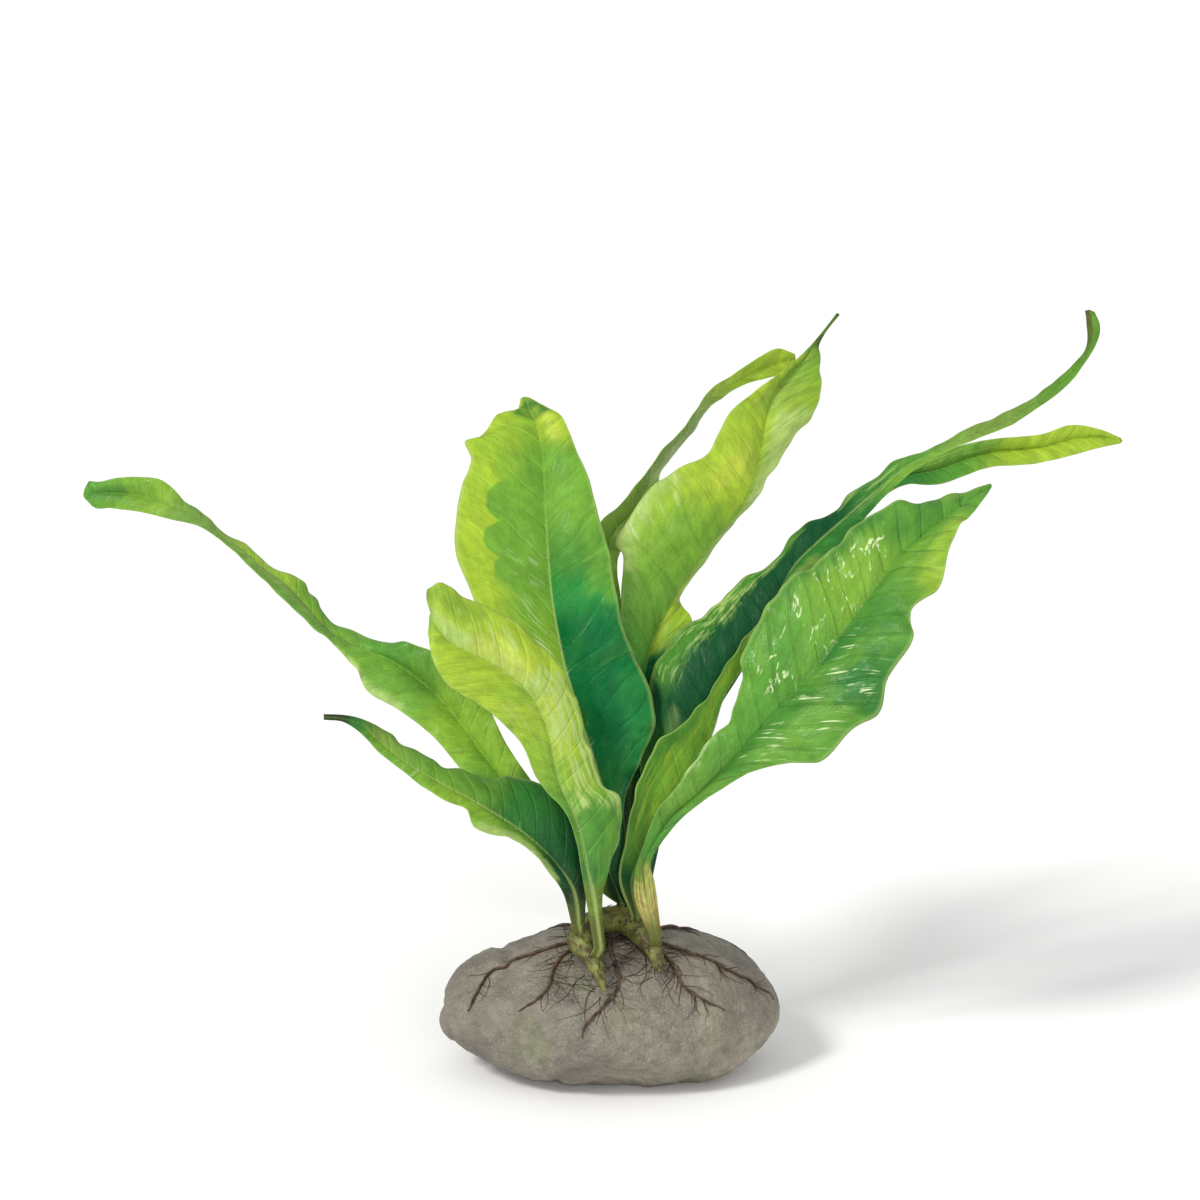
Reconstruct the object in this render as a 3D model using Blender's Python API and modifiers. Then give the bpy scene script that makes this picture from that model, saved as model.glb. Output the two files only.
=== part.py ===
"""Java fern growing on a stone: a stone, a creeping rhizome with roots, and nine leaves.

Metres, +Z up. The origin is the centre of the stone's flat underside, +X runs to the right
and +Y to the back. Leaf points are written in millimetres as (across, up, back), read on a
picture plane through the crown that an eye sees square on from 15 degrees above.
"""
import math

import bmesh
import bpy
import numpy as np
from mathutils import Vector
from mathutils.bvhtree import BVHTree

MM = 0.001
OBJECT_NAME = "java_fern_on_stone"
GAP = 0.35 * MM                      # room between two pieces that touch

# Eye that the leaf points are read from
EYE_ANGLE = math.radians(15)         # looks down by this much
EYE_DISTANCE = 1200                  # mm from the crown
EYE_ACROSS = -3                      # mm, where its axis meets the picture plane
EYE_UP = 89.1

# Stone
STONE_HALF = (53 * MM, 39 * MM, 23 * MM)
STONE_CENTRE = Vector((1 * MM, 3 * MM, 18 * MM))
STONE_ROUNDNESS = 11                 # lower is rounder
STONE_SIDES = [                      # direction of each worn side, and how far out it lies
    ((0.05, -0.06, 1.00), 0.98), ((0.80, -0.15, 0.62), 0.90), ((-0.70, -0.34, 0.66), 0.92),
    ((0.20, 0.85, 0.50), 0.88), ((-0.50, 0.70, 0.55), 0.93), ((0.22, -0.80, 0.55), 0.86),
    ((1.00, 0.25, -0.10), 0.93), ((-1.00, 0.16, 0.05), 0.97), ((0.55, 0.85, -0.10), 0.92),
    ((-0.55, 0.80, -0.15), 0.90), ((-0.62, -0.80, -0.05), 0.90), ((0.30, -1.00, -0.15), 0.94),
    ((0.85, -0.62, 0.00), 0.91), ((0.00, 0.00, -1.00), 1.00), ((0.70, 0.10, -0.75), 0.95),
    ((-0.70, -0.10, -0.75), 0.93), ((0.00, 0.75, -0.75), 0.94), ((0.00, -0.75, -0.75), 0.92),
]
CROWN = Vector((0, 0, 54 * MM))      # where the leaf stalks come together
ABOVE = 200 * MM                     # a height above everything on the stone

# Rhizome, as (x, y, radius) in mm on top of the stone
RHIZOME_MAIN = [(-2.5, -22, 2.4), (-5, -16, 3.6), (-8.5, -9, 4.0), (-7.5, -2, 4.0), (-2.5, 4, 4.1),
                (3.5, 7, 4.1), (8, 13, 4.0), (10, 20, 3.5), (11, 26, 2.5)]
RHIZOME_BRANCH = [(1, 6, 3.4), (5.5, 2, 3.6), (9.5, -4, 3.6), (12.5, -10, 3.4), (14, -15, 2.3)]
RHIZOME_STEP = 4                     # mm, longest face along the stem

# Roots: bearing from the crown in degrees, and how far down the stone they reach
ROOT_RADIUS = 0.6 * MM
ROOTS = [(-158, 0.86), (-128, 0.74), (-94, 0.90), (-46, 0.78), (-14, 0.88), (38, 0.80), (84, 0.86),
         (138, 0.78)]
ROOT_GAP = 0.55 * MM                 # room for the straight stretches between their points
ROOT_POINTS = 9
ROOT_START = 0.1                     # share of the way down where a root leaves the crown
ROOT_STEPS = 60                      # places tried along a root before its points are picked
ROOT_SWAY = math.radians(7)
ROOT_BENDS = 5.5                     # radians of sway from end to end
ROOT_SHIFT = 1.9                     # radians of sway from one root to the next
ROOT_TAPER = 0.45

# Leaves
BLADE_THICKNESS = 0.9 * MM
STALK_THICKNESS = 2.4 * MM
STALK_WIDTH = 3.4 * MM
FOOT_GAP = 0.5 * MM                  # between the end of a stalk and the rhizome
STALK_LENGTH = 26 * MM               # over this length the stalk thins into the blade
HALF_SEGMENTS = 3                    # faces from the midrib to a margin
LONGEST_STEP = 9                     # mm, longest face along a leaf

# Each leaf has its place on the rhizome (x, y in mm), its puff, and rows from foot to tip.
# A row gives the left margin, the midrib and the right margin, each (across, up, back) in mm.
LEAVES = {
    "leaf_far_left": ((-7.5, -1.5), 0.10, [
        ((-12.5, 6, 3), (-10, 7.5, 4), (-7.5, 9, 4)),
        ((-28, 20.5, 5), (-22, 23, 7), (-17, 25.5, 6)),
        ((-44.5, 38, 7), (-37.5, 42, 10), (-30.8, 45.5, 7)),
        ((-53.5, 48.5, 9), (-47, 55, 13), (-38, 59, 9)),
        ((-64, 56.5, 11), (-57, 65, 16), (-49.5, 71.5, 11)),
        ((-73, 62, 14), (-66.5, 71.5, 18), (-60, 76, 15)),
        ((-76.3, 68.5, 14), (-74.6, 74.6, 19), (-69.4, 76.9, 22)),
        ((-84, 76.6, 16), (-84.5, 80, 22), (-84, 82.9, 27)),
        ((-93.5, 84.8, 19), (-91.8, 88, 24), (-89.2, 90.8, 29)),
        ((-100, 91.3, 22), (-97.5, 94, 26), (-93.3, 95.5, 30)),
        ((-107, 98, 24), (-105.3, 99.5, 28), (-103.5, 100.2, 33)),
        ((-112, 102.8, 27), (-110.8, 104.5, 30), (-109.3, 106, 34)),
        ((-117, 107.2, 30), (-116.3, 107.9, 32), (-115.5, 108.4, 36)),
        ((-123, 111, 33), (-121.3, 112.5, 34), (-119.5, 113, 37)),
        ((-131.5, 113.2, 35), (-129.5, 116.8, 36), (-126.5, 118, 38)),
        ((-140.5, 115.4, 37), (-139, 120, 39), (-135, 125.2, 38)),
        ((-149.5, 116.6, 40), (-149.5, 121.3, 41), (-147.5, 125.8, 39)),
        ((-155.5, 117.5, 42), (-156, 121, 42), (-153.8, 124.7, 41)),
        ((-157.7, 119.6, 43), (-158, 121, 43), (-156.3, 124.9, 42)),
    ]),
    "leaf_lower_left": ((-9.5, -9), 0.12, [
        ((-14.2, 1.6, -10), (-11.4, 2.4, -9.4), (-7.4, 3.4, -7.6)),
        ((-18.2, 7.2, -13), (-16, 9, -10), (-7.8, 14, -5)),
        ((-21, 11, -16), (-20, 13.5, -12), (-11, 25.6, -5)),
        ((-29, 17.3, -21), (-28, 20.4, -15), (-19.6, 33.6, -7)),
        ((-34.5, 18.5, -25), (-33.4, 24, -18), (-28, 36, -9)),
        ((-40.8, 21, -28), (-38.3, 27, -21), (-34, 35.4, -12)),
        ((-43.3, 26.4, -27), (-43.2, 29.8, -23), (-40.2, 36.7, -15)),
        ((-49.3, 28.8, -29), (-49.8, 33.4, -25), (-47, 38.4, -18)),
        ((-55.5, 32.7, -30), (-56.3, 37, -27), (-54, 41.4, -21)),
        ((-62, 37.6, -31), (-62.8, 41, -29), (-61.2, 45.2, -24)),
        ((-69.5, 43.6, -33), (-69.5, 46.6, -31), (-67.6, 49.9, -28)),
        ((-75.6, 49.8, -35), (-75, 51.6, -34.6), (-74.2, 53.4, -34)),
        ((-80, 52.5, -36.4), (-79.9, 53.5, -36.4), (-79.8, 54.6, -36.4)),
        ((-85.9, 53.2, -39), (-85.9, 54, -39), (-85.9, 54.9, -39)),
    ]),
    "leaf_front_left": ((-5, -16), 0.09, [
        ((-7.4, 1, -13.6), (-5.2, 1.2, -13.4), (-2.2, 1.6, -12.6)),
        ((-8.7, 8.5, -15), (-7.2, 9, -14), (-0.4, 8.2, -11)),
        ((-10.2, 17, -16), (-9, 18, -15), (2.6, 18.5, -9)),
        ((-14, 26.3, -18), (-12.2, 27, -16), (3.4, 28.8, -9)),
        ((-19, 31.5, -20), (-15, 33.3, -17), (-2, 33.5, -11)),
        ((-22.2, 36, -21), (-16.4, 39, -18), (-4.6, 39.6, -13)),
        ((-26, 45, -23), (-18, 47, -19), (-7.2, 47.4, -14)),
        ((-30.3, 50.2, -25), (-20.3, 54.8, -20), (-9.3, 56.5, -15)),
        ((-36.3, 55.6, -27), (-25, 62.2, -22), (-13, 65.5, -16)),
        ((-43, 60, -29), (-31, 67.8, -24), (-18.8, 73.8, -18)),
        ((-48.5, 63.5, -31), (-37.5, 71.8, -26), (-28.5, 82, -20)),
        ((-52, 68.4, -32), (-43.5, 74.4, -28), (-38, 87.7, -23)),
        ((-53.7, 73, -32), (-48.6, 77, -29), (-45.3, 90.6, -25)),
        ((-54.2, 78, -29), (-52.7, 82.5, -28), (-50.2, 94.5, -26)),
        ((-53.7, 80, -23), (-53.8, 85.5, -22), (-54.6, 92.4, -22)),
    ]),
    "leaf_tall_centre": ((3.2, 6.7), 0.08, [
        ((-0.8, 1.6, 4.6), (2.4, 1.4, 5.8), (4.8, 1.6, 5.2)),
        ((-3.6, 8, 2.6), (-0.4, 8.2, 4), (3.6, 8.6, 3.4)),
        ((-5.6, 16, 1.2), (-0.8, 17, 3.5), (4.4, 18.2, 2.8)),
        ((-11, 28, 0), (-1.5, 28.6, 4), (4.4, 29, 3)),
        ((-18, 41, 0), (-4.8, 41, 5), (9.2, 41, 3)),
        ((-25, 55, 1), (-9.2, 54.4, 6), (13.6, 53, 4)),
        ((-29, 62, 1), (-11.4, 61.6, 6.5), (12.4, 61.2, 5)),
        ((-32, 68.5, 2), (-13.4, 68.4, 7), (9.2, 68.4, 5.5)),
        ((-38, 82, 3), (-16, 81, 8.5), (4.4, 79.6, 6)),
        ((-42.6, 93.6, 5), (-17.8, 93, 10.5), (1.5, 93, 7.5)),
        ((-46.3, 103.2, 7), (-18.6, 104, 12.5), (-0.3, 103.6, 9.5)),
        ((-46.2, 113.6, 9), (-19.3, 114.6, 15), (-3.6, 115, 12)),
        ((-44, 124.8, 12), (-19.7, 125, 17.5), (-6.3, 125.4, 14.5)),
        ((-41.6, 131.4, 15), (-20.2, 132.6, 19.5), (-9.2, 132.2, 17)),
        ((-43.4, 137, 16), (-21.2, 138.6, 21), (-12.2, 139.4, 19)),
        ((-37.4, 139, 20), (-22.6, 143.2, 23), (-14.6, 144.4, 21)),
        ((-32.6, 145.4, 23), (-24.4, 146.4, 25), (-18.4, 147, 24)),
        ((-28.4, 145.4, 25), (-24.8, 148, 26), (-21.4, 148.2, 26)),
        ((-26.8, 149.6, 27), (-25.6, 150.1, 27), (-23.8, 149.5, 27)),
    ]),
    "leaf_upper": ((6.5, 11.2), 0.10, [
        ((4, 5, 12), (5.4, 5, 13), (7, 5, 13)),
        ((2, 24, 12), (6, 24, 14), (9.5, 24, 14)),
        ((1, 44, 13), (7.4, 43, 16), (14, 42, 16)),
        ((2, 60, 14), (9, 57, 18), (17.5, 56, 18)),
        ((3, 74, 15), (10.6, 69, 20), (20.5, 70, 19)),
        ((3.2, 85, 16), (14, 79.6, 22), (24.6, 82.6, 22)),
        ((3.4, 93, 17), (18.4, 87.8, 23), (20.8, 90, 28)),
        ((3.9, 98.6, 18), (22, 93.8, 24), (23.4, 94.4, 32)),
        ((3.7, 103, 19), (25.8, 99.6, 25), (27, 100.2, 34)),
        ((1.7, 106.2, 20), (29, 104.4, 26), (30.4, 105, 35)),
        ((6.5, 115, 22), (34, 110.8, 27), (36, 111.4, 36)),
        ((12.8, 123.2, 24), (38.6, 116.6, 29), (41, 116.8, 37)),
        ((20.5, 128.4, 26), (41.8, 122.4, 31), (45, 121.8, 38)),
        ((28.2, 132.1, 28), (43.8, 128.4, 33), (48.6, 127.8, 39)),
        ((32, 138, 30), (45.6, 136, 35), (54.5, 136.8, 39)),
        ((36, 145.5, 32), (46.8, 143.4, 37), (60, 143.7, 40)),
        ((42.6, 151.1, 34), (49, 150.4, 39), (63, 149.4, 41)),
        ((50, 156.6, 36), (53, 156.4, 40), (63.1, 156.2, 42)),
        ((56.2, 161.6, 39), (58.2, 161.8, 41), (63, 162.6, 43)),
        ((60.4, 165.7, 42), (61.4, 165.8, 42.5), (62.6, 165.2, 43)),
        ((64.2, 170.2, 44), (64.6, 170.1, 44), (65, 169.8, 44)),
        ((68, 175.2, 45), (68.6, 175, 45), (68.9, 174.6, 45)),
    ]),
    "leaf_slender_rear": ((8.6, 15.4), 0.06, [
        ((3, 5, 18), (4.6, 5, 18.6), (6.2, 5, 18.6)),
        ((-3, 32, 22), (2, 32, 24), (7, 32, 23)),
        ((-5, 62, 25), (1, 62, 28), (8, 62, 26)),
        ((-5.6, 90, 28), (-2.2, 90, 31), (1.2, 89, 29)),
        ((-2.6, 112.8, 32), (1.6, 109.8, 35), (4.6, 106, 35)),
        ((2.6, 117.3, 34), (7, 115.6, 37), (12, 114, 39)),
        ((7, 122.6, 36), (10, 121, 40), (13.6, 120, 43)),
        ((12, 129, 37), (14, 127.8, 42), (15.6, 127.6, 47)),
        ((17, 135.5, 39), (18.6, 134, 44), (19.6, 133.4, 49)),
        ((22, 140.6, 42), (23.4, 139.6, 46), (24.4, 139, 51)),
        ((26.4, 147.2, 45), (27.8, 146.4, 49), (29.2, 146.2, 53)),
        ((31, 153, 48), (32.8, 151.6, 52), (34.4, 150.4, 55)),
        ((38, 157.4, 51), (39.4, 155.6, 55), (41, 154, 56)),
        ((45, 162.2, 54), (46.2, 159, 57), (47, 155.6, 56)),
        ((50.6, 164.6, 57), (51.4, 160.6, 59), (51.6, 157, 58)),
        ((55.4, 163, 59), (55.8, 161, 60), (55.6, 159, 60)),
    ]),
    "leaf_long_right": ((7.3, -0.8), 0.10, [
        ((9.4, 3.6, 2.4), (6.4, 4, 1), (3, 5, -1)),
        ((9.6, 16, 5), (10.4, 14.8, 1), (4.8, 16.8, -3)),
        ((9, 32, 9), (18.6, 27.4, 1.5), (7.9, 32.4, -4)),
        ((10, 47, 11), (26.4, 39.4, 2), (14.6, 46.4, -4)),
        ((11.4, 60, 12), (30.8, 49.6, 2.5), (23.6, 53.6, -4)),
        ((14.2, 70.8, 13), (34.4, 60.8, 3.5), (31.2, 63, -3)),
        ((20.8, 79.6, 14), (39, 68.2, 4.5), (36.8, 72.2, -2)),
        ((29.4, 85.4, 15), (45, 78, 6), (43.4, 81, 0)),
        ((38.4, 94, 16), (50.4, 89.4, 8.5), (50.2, 87.8, 2)),
        ((50.4, 102, 17), (55.6, 99.4, 11), (57.4, 95, 5)),
        ((56.6, 110.6, 17), (62, 106, 12), (64.6, 101.6, 7)),
        ((65.6, 114.6, 18), (69.4, 112.6, 13), (72.6, 109, 9)),
        ((73.6, 122.2, 18), (78, 120, 14), (79.4, 117, 11)),
        ((80.4, 126.4, 19), (83, 124.4, 15), (83.2, 120.8, 12)),
        ((86, 131, 19), (87.6, 128.2, 15), (86.8, 124.4, 12)),
        ((95, 133.8, 19), (96, 132.8, 16), (94.6, 130.2, 13)),
        ((106, 139.9, 20), (106.6, 138, 17), (106.2, 136, 14)),
        ((117.4, 144.8, 21), (118, 142.6, 18), (118.6, 140.7, 15)),
        ((128, 150.5, 22), (127.8, 148.6, 19), (126.4, 145.4, 17)),
        ((135, 156.2, 22), (136, 154.8, 20), (137.4, 153.6, 18)),
        ((140, 160.8, 23), (141, 160, 21), (142, 159.6, 19)),
        ((143, 165.6, 24), (144.4, 165.4, 22), (145.8, 165.6, 21)),
        ((143, 172.4, 25), (145, 172.2, 23), (147, 171.6, 22)),
        ((142.4, 175.8, 25), (143.8, 176.2, 24.5), (145.4, 175.4, 24)),
    ]),
    "leaf_right_rear": ((9.7, 18.4), 0.10, [
        ((9, 4, 21), (10.6, 3.8, 21), (12.2, 3.6, 21)),
        ((17.6, 35.6, 23), (19, 35, 23), (20.4, 34.4, 23)),
        ((34.4, 66.6, 26), (36, 65.6, 26), (37.6, 64.6, 26)),
        ((53, 95.6, 28), (55, 94.4, 28), (57, 93.2, 28)),
        ((69, 113, 30), (71, 112, 31), (73, 111, 30)),
        ((78.6, 121.2, 32), (79.6, 120, 33), (80.4, 118.8, 32)),
        ((88, 128.6, 35), (88.8, 126.4, 37), (89.4, 123.8, 34)),
        ((97, 132.4, 37), (97.4, 128.4, 40), (98, 123.6, 36)),
        ((105, 135.4, 39), (106, 131.4, 42), (107.2, 126.6, 38)),
        ((113, 137.2, 41), (113.6, 133.4, 44), (114.2, 129, 40)),
        ((121, 138, 42), (122, 134.2, 45), (123, 129.5, 41)),
        ((130, 139, 44), (131, 135.2, 46), (132, 130.8, 42)),
        ((138, 141.6, 45), (139, 137.4, 47), (140, 132.9, 44)),
        ((146, 140.6, 47), (147, 138, 48), (148, 135, 46)),
        ((153.2, 137.8, 49), (153.8, 136.8, 49), (153, 136, 49)),
    ]),
    "leaf_broad_right": ((12.4, -9.6), 0.11, [
        ((7.2, 3, -8.6), (10.4, 3.8, -8.2), (13.3, 4.5, -8.6)),
        ((8.2, 10, -9.6), (10.2, 10.2, -9.2), (12.1, 10.4, -9.6)),
        ((10, 15.4, -10.4), (12.6, 15.2, -9.8), (14.9, 15.4, -10.4)),
        ((13.4, 24.6, -11), (17.6, 22.8, -10), (21.2, 23.2, -12)),
        ((21, 34.4, -11), (27, 31.2, -11), (32.6, 31.8, -15)),
        ((28.4, 45.4, -11), (36, 39.6, -12), (43, 37.6, -18)),
        ((36, 53.4, -11), (43.4, 48.4, -13), (54, 40.2, -22)),
        ((39, 63, -11), (50, 55.6, -14), (63.6, 40.8, -25)),
        ((40.2, 74, -11), (57, 63.4, -15), (72.6, 50.2, -27)),
        ((46.6, 86, -10), (64, 71.4, -15), (80.8, 55.2, -28)),
        ((53, 94.6, -9), (70.4, 80, -14), (83.6, 66, -27)),
        ((61, 99.6, -7), (76.6, 88.6, -12), (90.8, 76.8, -25)),
        ((68, 105.6, -5), (83, 97.2, -10), (90.7, 86.4, -21)),
        ((75, 112.4, -3), (89, 103.6, -7), (99, 93.2, -18)),
        ((84.4, 118, 0), (95, 108.8, -4), (101.7, 104, -13)),
        ((94, 118.5, 3), (100.6, 113.6, -1), (104.8, 110.8, -8)),
        ((103.4, 120.8, 6), (106.6, 118.2, 3), (109.4, 115.8, -2)),
        ((114, 124, 9), (114.6, 123.4, 8), (114.3, 122.4, 7)),
    ]),
}

COLOURS = {
    "stone": (0.25, 0.23, 0.20), "rhizome": (0.16, 0.17, 0.06), "root": (0.08, 0.05, 0.03),
    "leaf_far_left": (0.18, 0.36, 0.05), "leaf_lower_left": (0.10, 0.25, 0.05),
    "leaf_front_left": (0.40, 0.58, 0.05), "leaf_tall_centre": (0.26, 0.46, 0.05),
    "leaf_upper": (0.33, 0.54, 0.05), "leaf_slender_rear": (0.20, 0.36, 0.06),
    "leaf_long_right": (0.03, 0.14, 0.05), "leaf_right_rear": (0.24, 0.44, 0.05),
    "leaf_broad_right": (0.12, 0.36, 0.05),
}


def clear_scene():
    for old in list(bpy.data.objects):
        bpy.data.objects.remove(old, do_unlink=True)


def make_material(name, colour, roughness):
    material = bpy.data.materials.new(name)
    material.use_nodes = True
    shader = material.node_tree.nodes["Principled BSDF"]
    shader.inputs["Base Color"].default_value = (*colour, 1)
    shader.inputs["Roughness"].default_value = roughness
    shader.inputs["Metallic"].default_value = 0
    return material


def add_object(name, data, collection, colour, roughness):
    made = bpy.data.objects.new(name, data)
    collection.objects.link(made)
    made.data.materials.append(make_material(name + "_finish", colour, roughness))
    return made


def place(across, up, back):
    """World point of a leaf point: along the line of sight from where the eye sees it."""
    spread = 1 + back / EYE_DISTANCE
    right = EYE_ACROSS + (across - EYE_ACROSS) * spread
    rise = EYE_UP + (up - EYE_UP) * spread
    y = rise * math.sin(EYE_ANGLE) + back * math.cos(EYE_ANGLE)
    z = rise * math.cos(EYE_ANGLE) - back * math.sin(EYE_ANGLE)
    return CROWN + Vector((right, y, z)) * MM


# Stone

def stone_reach(direction):
    """How far the worn stone reaches along a unit direction, where 1 is its half size."""
    total = 0
    for side, distance in STONE_SIDES:
        lean = direction.dot(Vector(side).normalized()) / distance
        total += max(lean, 0) ** STONE_ROUNDNESS
    return total ** (-1 / STONE_ROUNDNESS)


def build_stone(collection):
    shape = bmesh.new()
    bmesh.ops.create_icosphere(shape, subdivisions=4, radius=1)
    for vertex in shape.verts:
        direction = vertex.co.normalized()
        reach = stone_reach(direction)
        vertex.co = STONE_CENTRE + Vector(d * reach * half for d, half in zip(direction, STONE_HALF))
    everything = shape.verts[:] + shape.edges[:] + shape.faces[:]
    bmesh.ops.bisect_plane(shape, geom=everything, plane_co=(0, 0, 0), plane_no=(0, 0, -1), clear_outer=True)
    rim = [edge for edge in shape.edges if edge.is_boundary]
    bmesh.ops.contextual_create(shape, geom=rim)
    bmesh.ops.recalc_face_normals(shape, faces=shape.faces[:])
    mesh = bpy.data.meshes.new("stone")
    shape.to_mesh(mesh)
    shape.free()
    mesh.shade_smooth()
    return add_object("stone", mesh, collection, COLOURS["stone"], 0.75)


def stone_surface(stone):
    corners = [vertex.co.copy() for vertex in stone.data.vertices]
    return BVHTree.FromPolygons(corners, [list(face.vertices) for face in stone.data.polygons])


# Rhizome

def smooth_route(points, longest):
    """Points on a smooth curve through hand-placed ones."""
    rail = np.array(points, dtype=float)
    knots = row_knots(rail[:, :2])
    return sample_rail(rail, knots, between(knots, longest))


def rhizome_route(points, surface):
    """Centres and radii of the stem where it lies on the stone."""
    route = []
    for x, y, radius in smooth_route(points, RHIZOME_STEP):
        start = Vector((x * MM, y * MM, ABOVE))
        spot, normal, _, _ = surface.ray_cast(start, Vector((0, 0, -1)))
        route.append((spot + normal * (radius * MM + GAP), radius * MM))
    return route


def tube_mesh(name, route, resolution):
    """Closed tube through (point, radius) pairs, as a mesh."""
    curve = bpy.data.curves.new(name, "CURVE")
    curve.dimensions = "3D"
    curve.bevel_depth = 1
    curve.bevel_resolution = resolution
    curve.use_fill_caps = True
    spline = curve.splines.new("POLY")
    spline.points.add(len(route) - 1)
    for point, (centre, radius) in zip(spline.points, route):
        point.co = (*centre, 1)
        point.radius = radius
    holder = bpy.data.objects.new(name + "_curve", curve)
    bpy.context.scene.collection.objects.link(holder)
    bpy.context.view_layer.update()
    evaluated = holder.evaluated_get(bpy.context.evaluated_depsgraph_get())
    mesh = bpy.data.meshes.new_from_object(evaluated)
    shape = bmesh.new()
    shape.from_mesh(mesh)
    bmesh.ops.remove_doubles(shape, verts=shape.verts[:], dist=0.01 * MM)
    bmesh.ops.recalc_face_normals(shape, faces=shape.faces[:])
    shape.to_mesh(mesh)
    shape.free()
    bpy.data.objects.remove(holder, do_unlink=True)
    mesh.shade_smooth()
    mesh.name = name
    return mesh


def build_rhizome(collection, cutters, main, branch):
    stem = add_object("rhizome", tube_mesh("rhizome", main, 2), collection, COLOURS["rhizome"], 0.6)
    side = bpy.data.objects.new("rhizome_side_shoot", tube_mesh("rhizome_side_shoot", branch, 2))
    cutters.objects.link(side)
    side.hide_render = True
    side.display_type = "WIRE"
    joined = stem.modifiers.new("side_shoot", "BOOLEAN")
    joined.operation = "UNION"
    joined.solver = "EXACT"
    joined.object = side
    return stem


def on_rhizome(spot, stem):
    """Centre, radius and direction of the stem closest to a plan position in mm."""
    plan = Vector((spot[0] * MM, spot[1] * MM))
    places = [(route, index) for route in stem for index in range(1, len(route) - 1)]
    route, nearest = min(places, key=lambda place: (place[0][place[1]][0].xy - plan).length)
    centre, radius = route[nearest]
    heading = (route[nearest + 1][0] - route[nearest - 1][0]).normalized()
    return centre, radius, heading


# Roots

def root_route(number, bearing, depth, surface, stem):
    """Points of one root from beside the rhizome outwards and down over the stone."""
    points = []
    for step in range(ROOT_STEPS + 1):
        share = step / ROOT_STEPS
        lean = math.radians(90) * depth * (ROOT_START + (1 - ROOT_START) * share)
        turn = math.radians(bearing) + ROOT_SWAY * math.sin(ROOT_BENDS * share + ROOT_SHIFT * number)
        heading = Vector((math.cos(turn) * math.sin(lean) * STONE_HALF[0],
                          math.sin(turn) * math.sin(lean) * STONE_HALF[1],
                          math.cos(lean) * STONE_HALF[2])).normalized()
        spot, normal, _, _ = surface.ray_cast(STONE_CENTRE, heading)
        centre = spot + normal * (ROOT_RADIUS + ROOT_GAP)
        rings = [ring for route in stem for ring in route]
        if all((centre - ring).length > radius + ROOT_RADIUS + GAP for ring, radius in rings):
            points.append(centre)
    picks = [round(index * (len(points) - 1) / (ROOT_POINTS - 1)) for index in range(ROOT_POINTS)]
    thin = [1 - ROOT_TAPER * index / (ROOT_POINTS - 1) for index in range(ROOT_POINTS)]
    return [(points[pick], ROOT_RADIUS * share) for pick, share in zip(picks, thin)]


def build_roots(collection, surface, stem):
    for number, (bearing, depth) in enumerate(ROOTS, start=1):
        name = f"root_{number}"
        route = root_route(number, bearing, depth, surface, stem)
        add_object(name, tube_mesh(name, route, 1), collection, COLOURS["root"], 0.7)


# Leaves

def row_knots(points):
    """Running length along a list of points, which spaces a smooth curve through them."""
    steps = np.linalg.norm(np.diff(points, axis=0), axis=1)
    return np.concatenate([[0], np.cumsum(steps)])


def between(knots, longest):
    """Places on the curve: every knot, with more of them where knots lie further apart."""
    spans = []
    for start, end in zip(knots[:-1], knots[1:]):
        spans.append(np.linspace(start, end, math.ceil((end - start) / longest), endpoint=False))
    return np.concatenate(spans + [knots[-1:]])


def sample_rail(points, knots, places):
    """Smooth curve through points at their knots, read at other places on it."""
    slopes = np.empty_like(points)
    gaps = np.diff(knots)
    chords = np.diff(points, axis=0) / gaps[:, None]
    share = (gaps[1:] / (gaps[:-1] + gaps[1:]))[:, None]
    slopes[1:-1] = chords[:-1] * share + chords[1:] * (1 - share)
    slopes[0] = chords[0]
    slopes[-1] = chords[-1]
    span = np.clip(np.searchsorted(knots, places, side="right") - 1, 0, len(gaps) - 1)
    t = ((places - knots[span]) / gaps[span])[:, None]
    width = gaps[span][:, None]
    start = points[span] * (1 + 2 * t) * (1 - t) ** 2 + slopes[span] * width * t * (1 - t) ** 2
    end = points[span + 1] * t ** 2 * (3 - 2 * t) + slopes[span + 1] * width * t ** 2 * (t - 1)
    return start + end


def foot_row(foot, stem, first):
    """The row where a stalk stands on the rhizome, set towards the leaf's first row."""
    centre, radius, heading = on_rhizome(foot, stem)
    left, middle, right = (Vector(point) for point in first)
    towards = (middle - centre).normalized()
    rise = (towards - heading * towards.dot(heading)).normalized()
    base = centre + rise * (radius + FOOT_GAP)
    slant = (middle - base).normalized().cross(rise).length
    base += rise * (STALK_THICKNESS / 2 * slant)
    across = right - left
    across -= rise * across.dot(rise)
    across = across.normalized() * (STALK_WIDTH / 2)
    return [base - across, base, base + across]


def leaf_rails(rows, foot, stem):
    """Left, middle and right rails of a leaf as arrays of world points, and their places."""
    table = [[place(*point) for point in row] for row in rows]
    table.insert(0, foot_row(foot, stem, table[0]))
    table = np.array([[tuple(point) for point in row] for row in table])
    knots = row_knots(table[:, 1])
    places = between(knots, LONGEST_STEP * MM)
    rails = [sample_rail(table[:, side], knots, places) for side in range(3)]
    return rails, places


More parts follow.
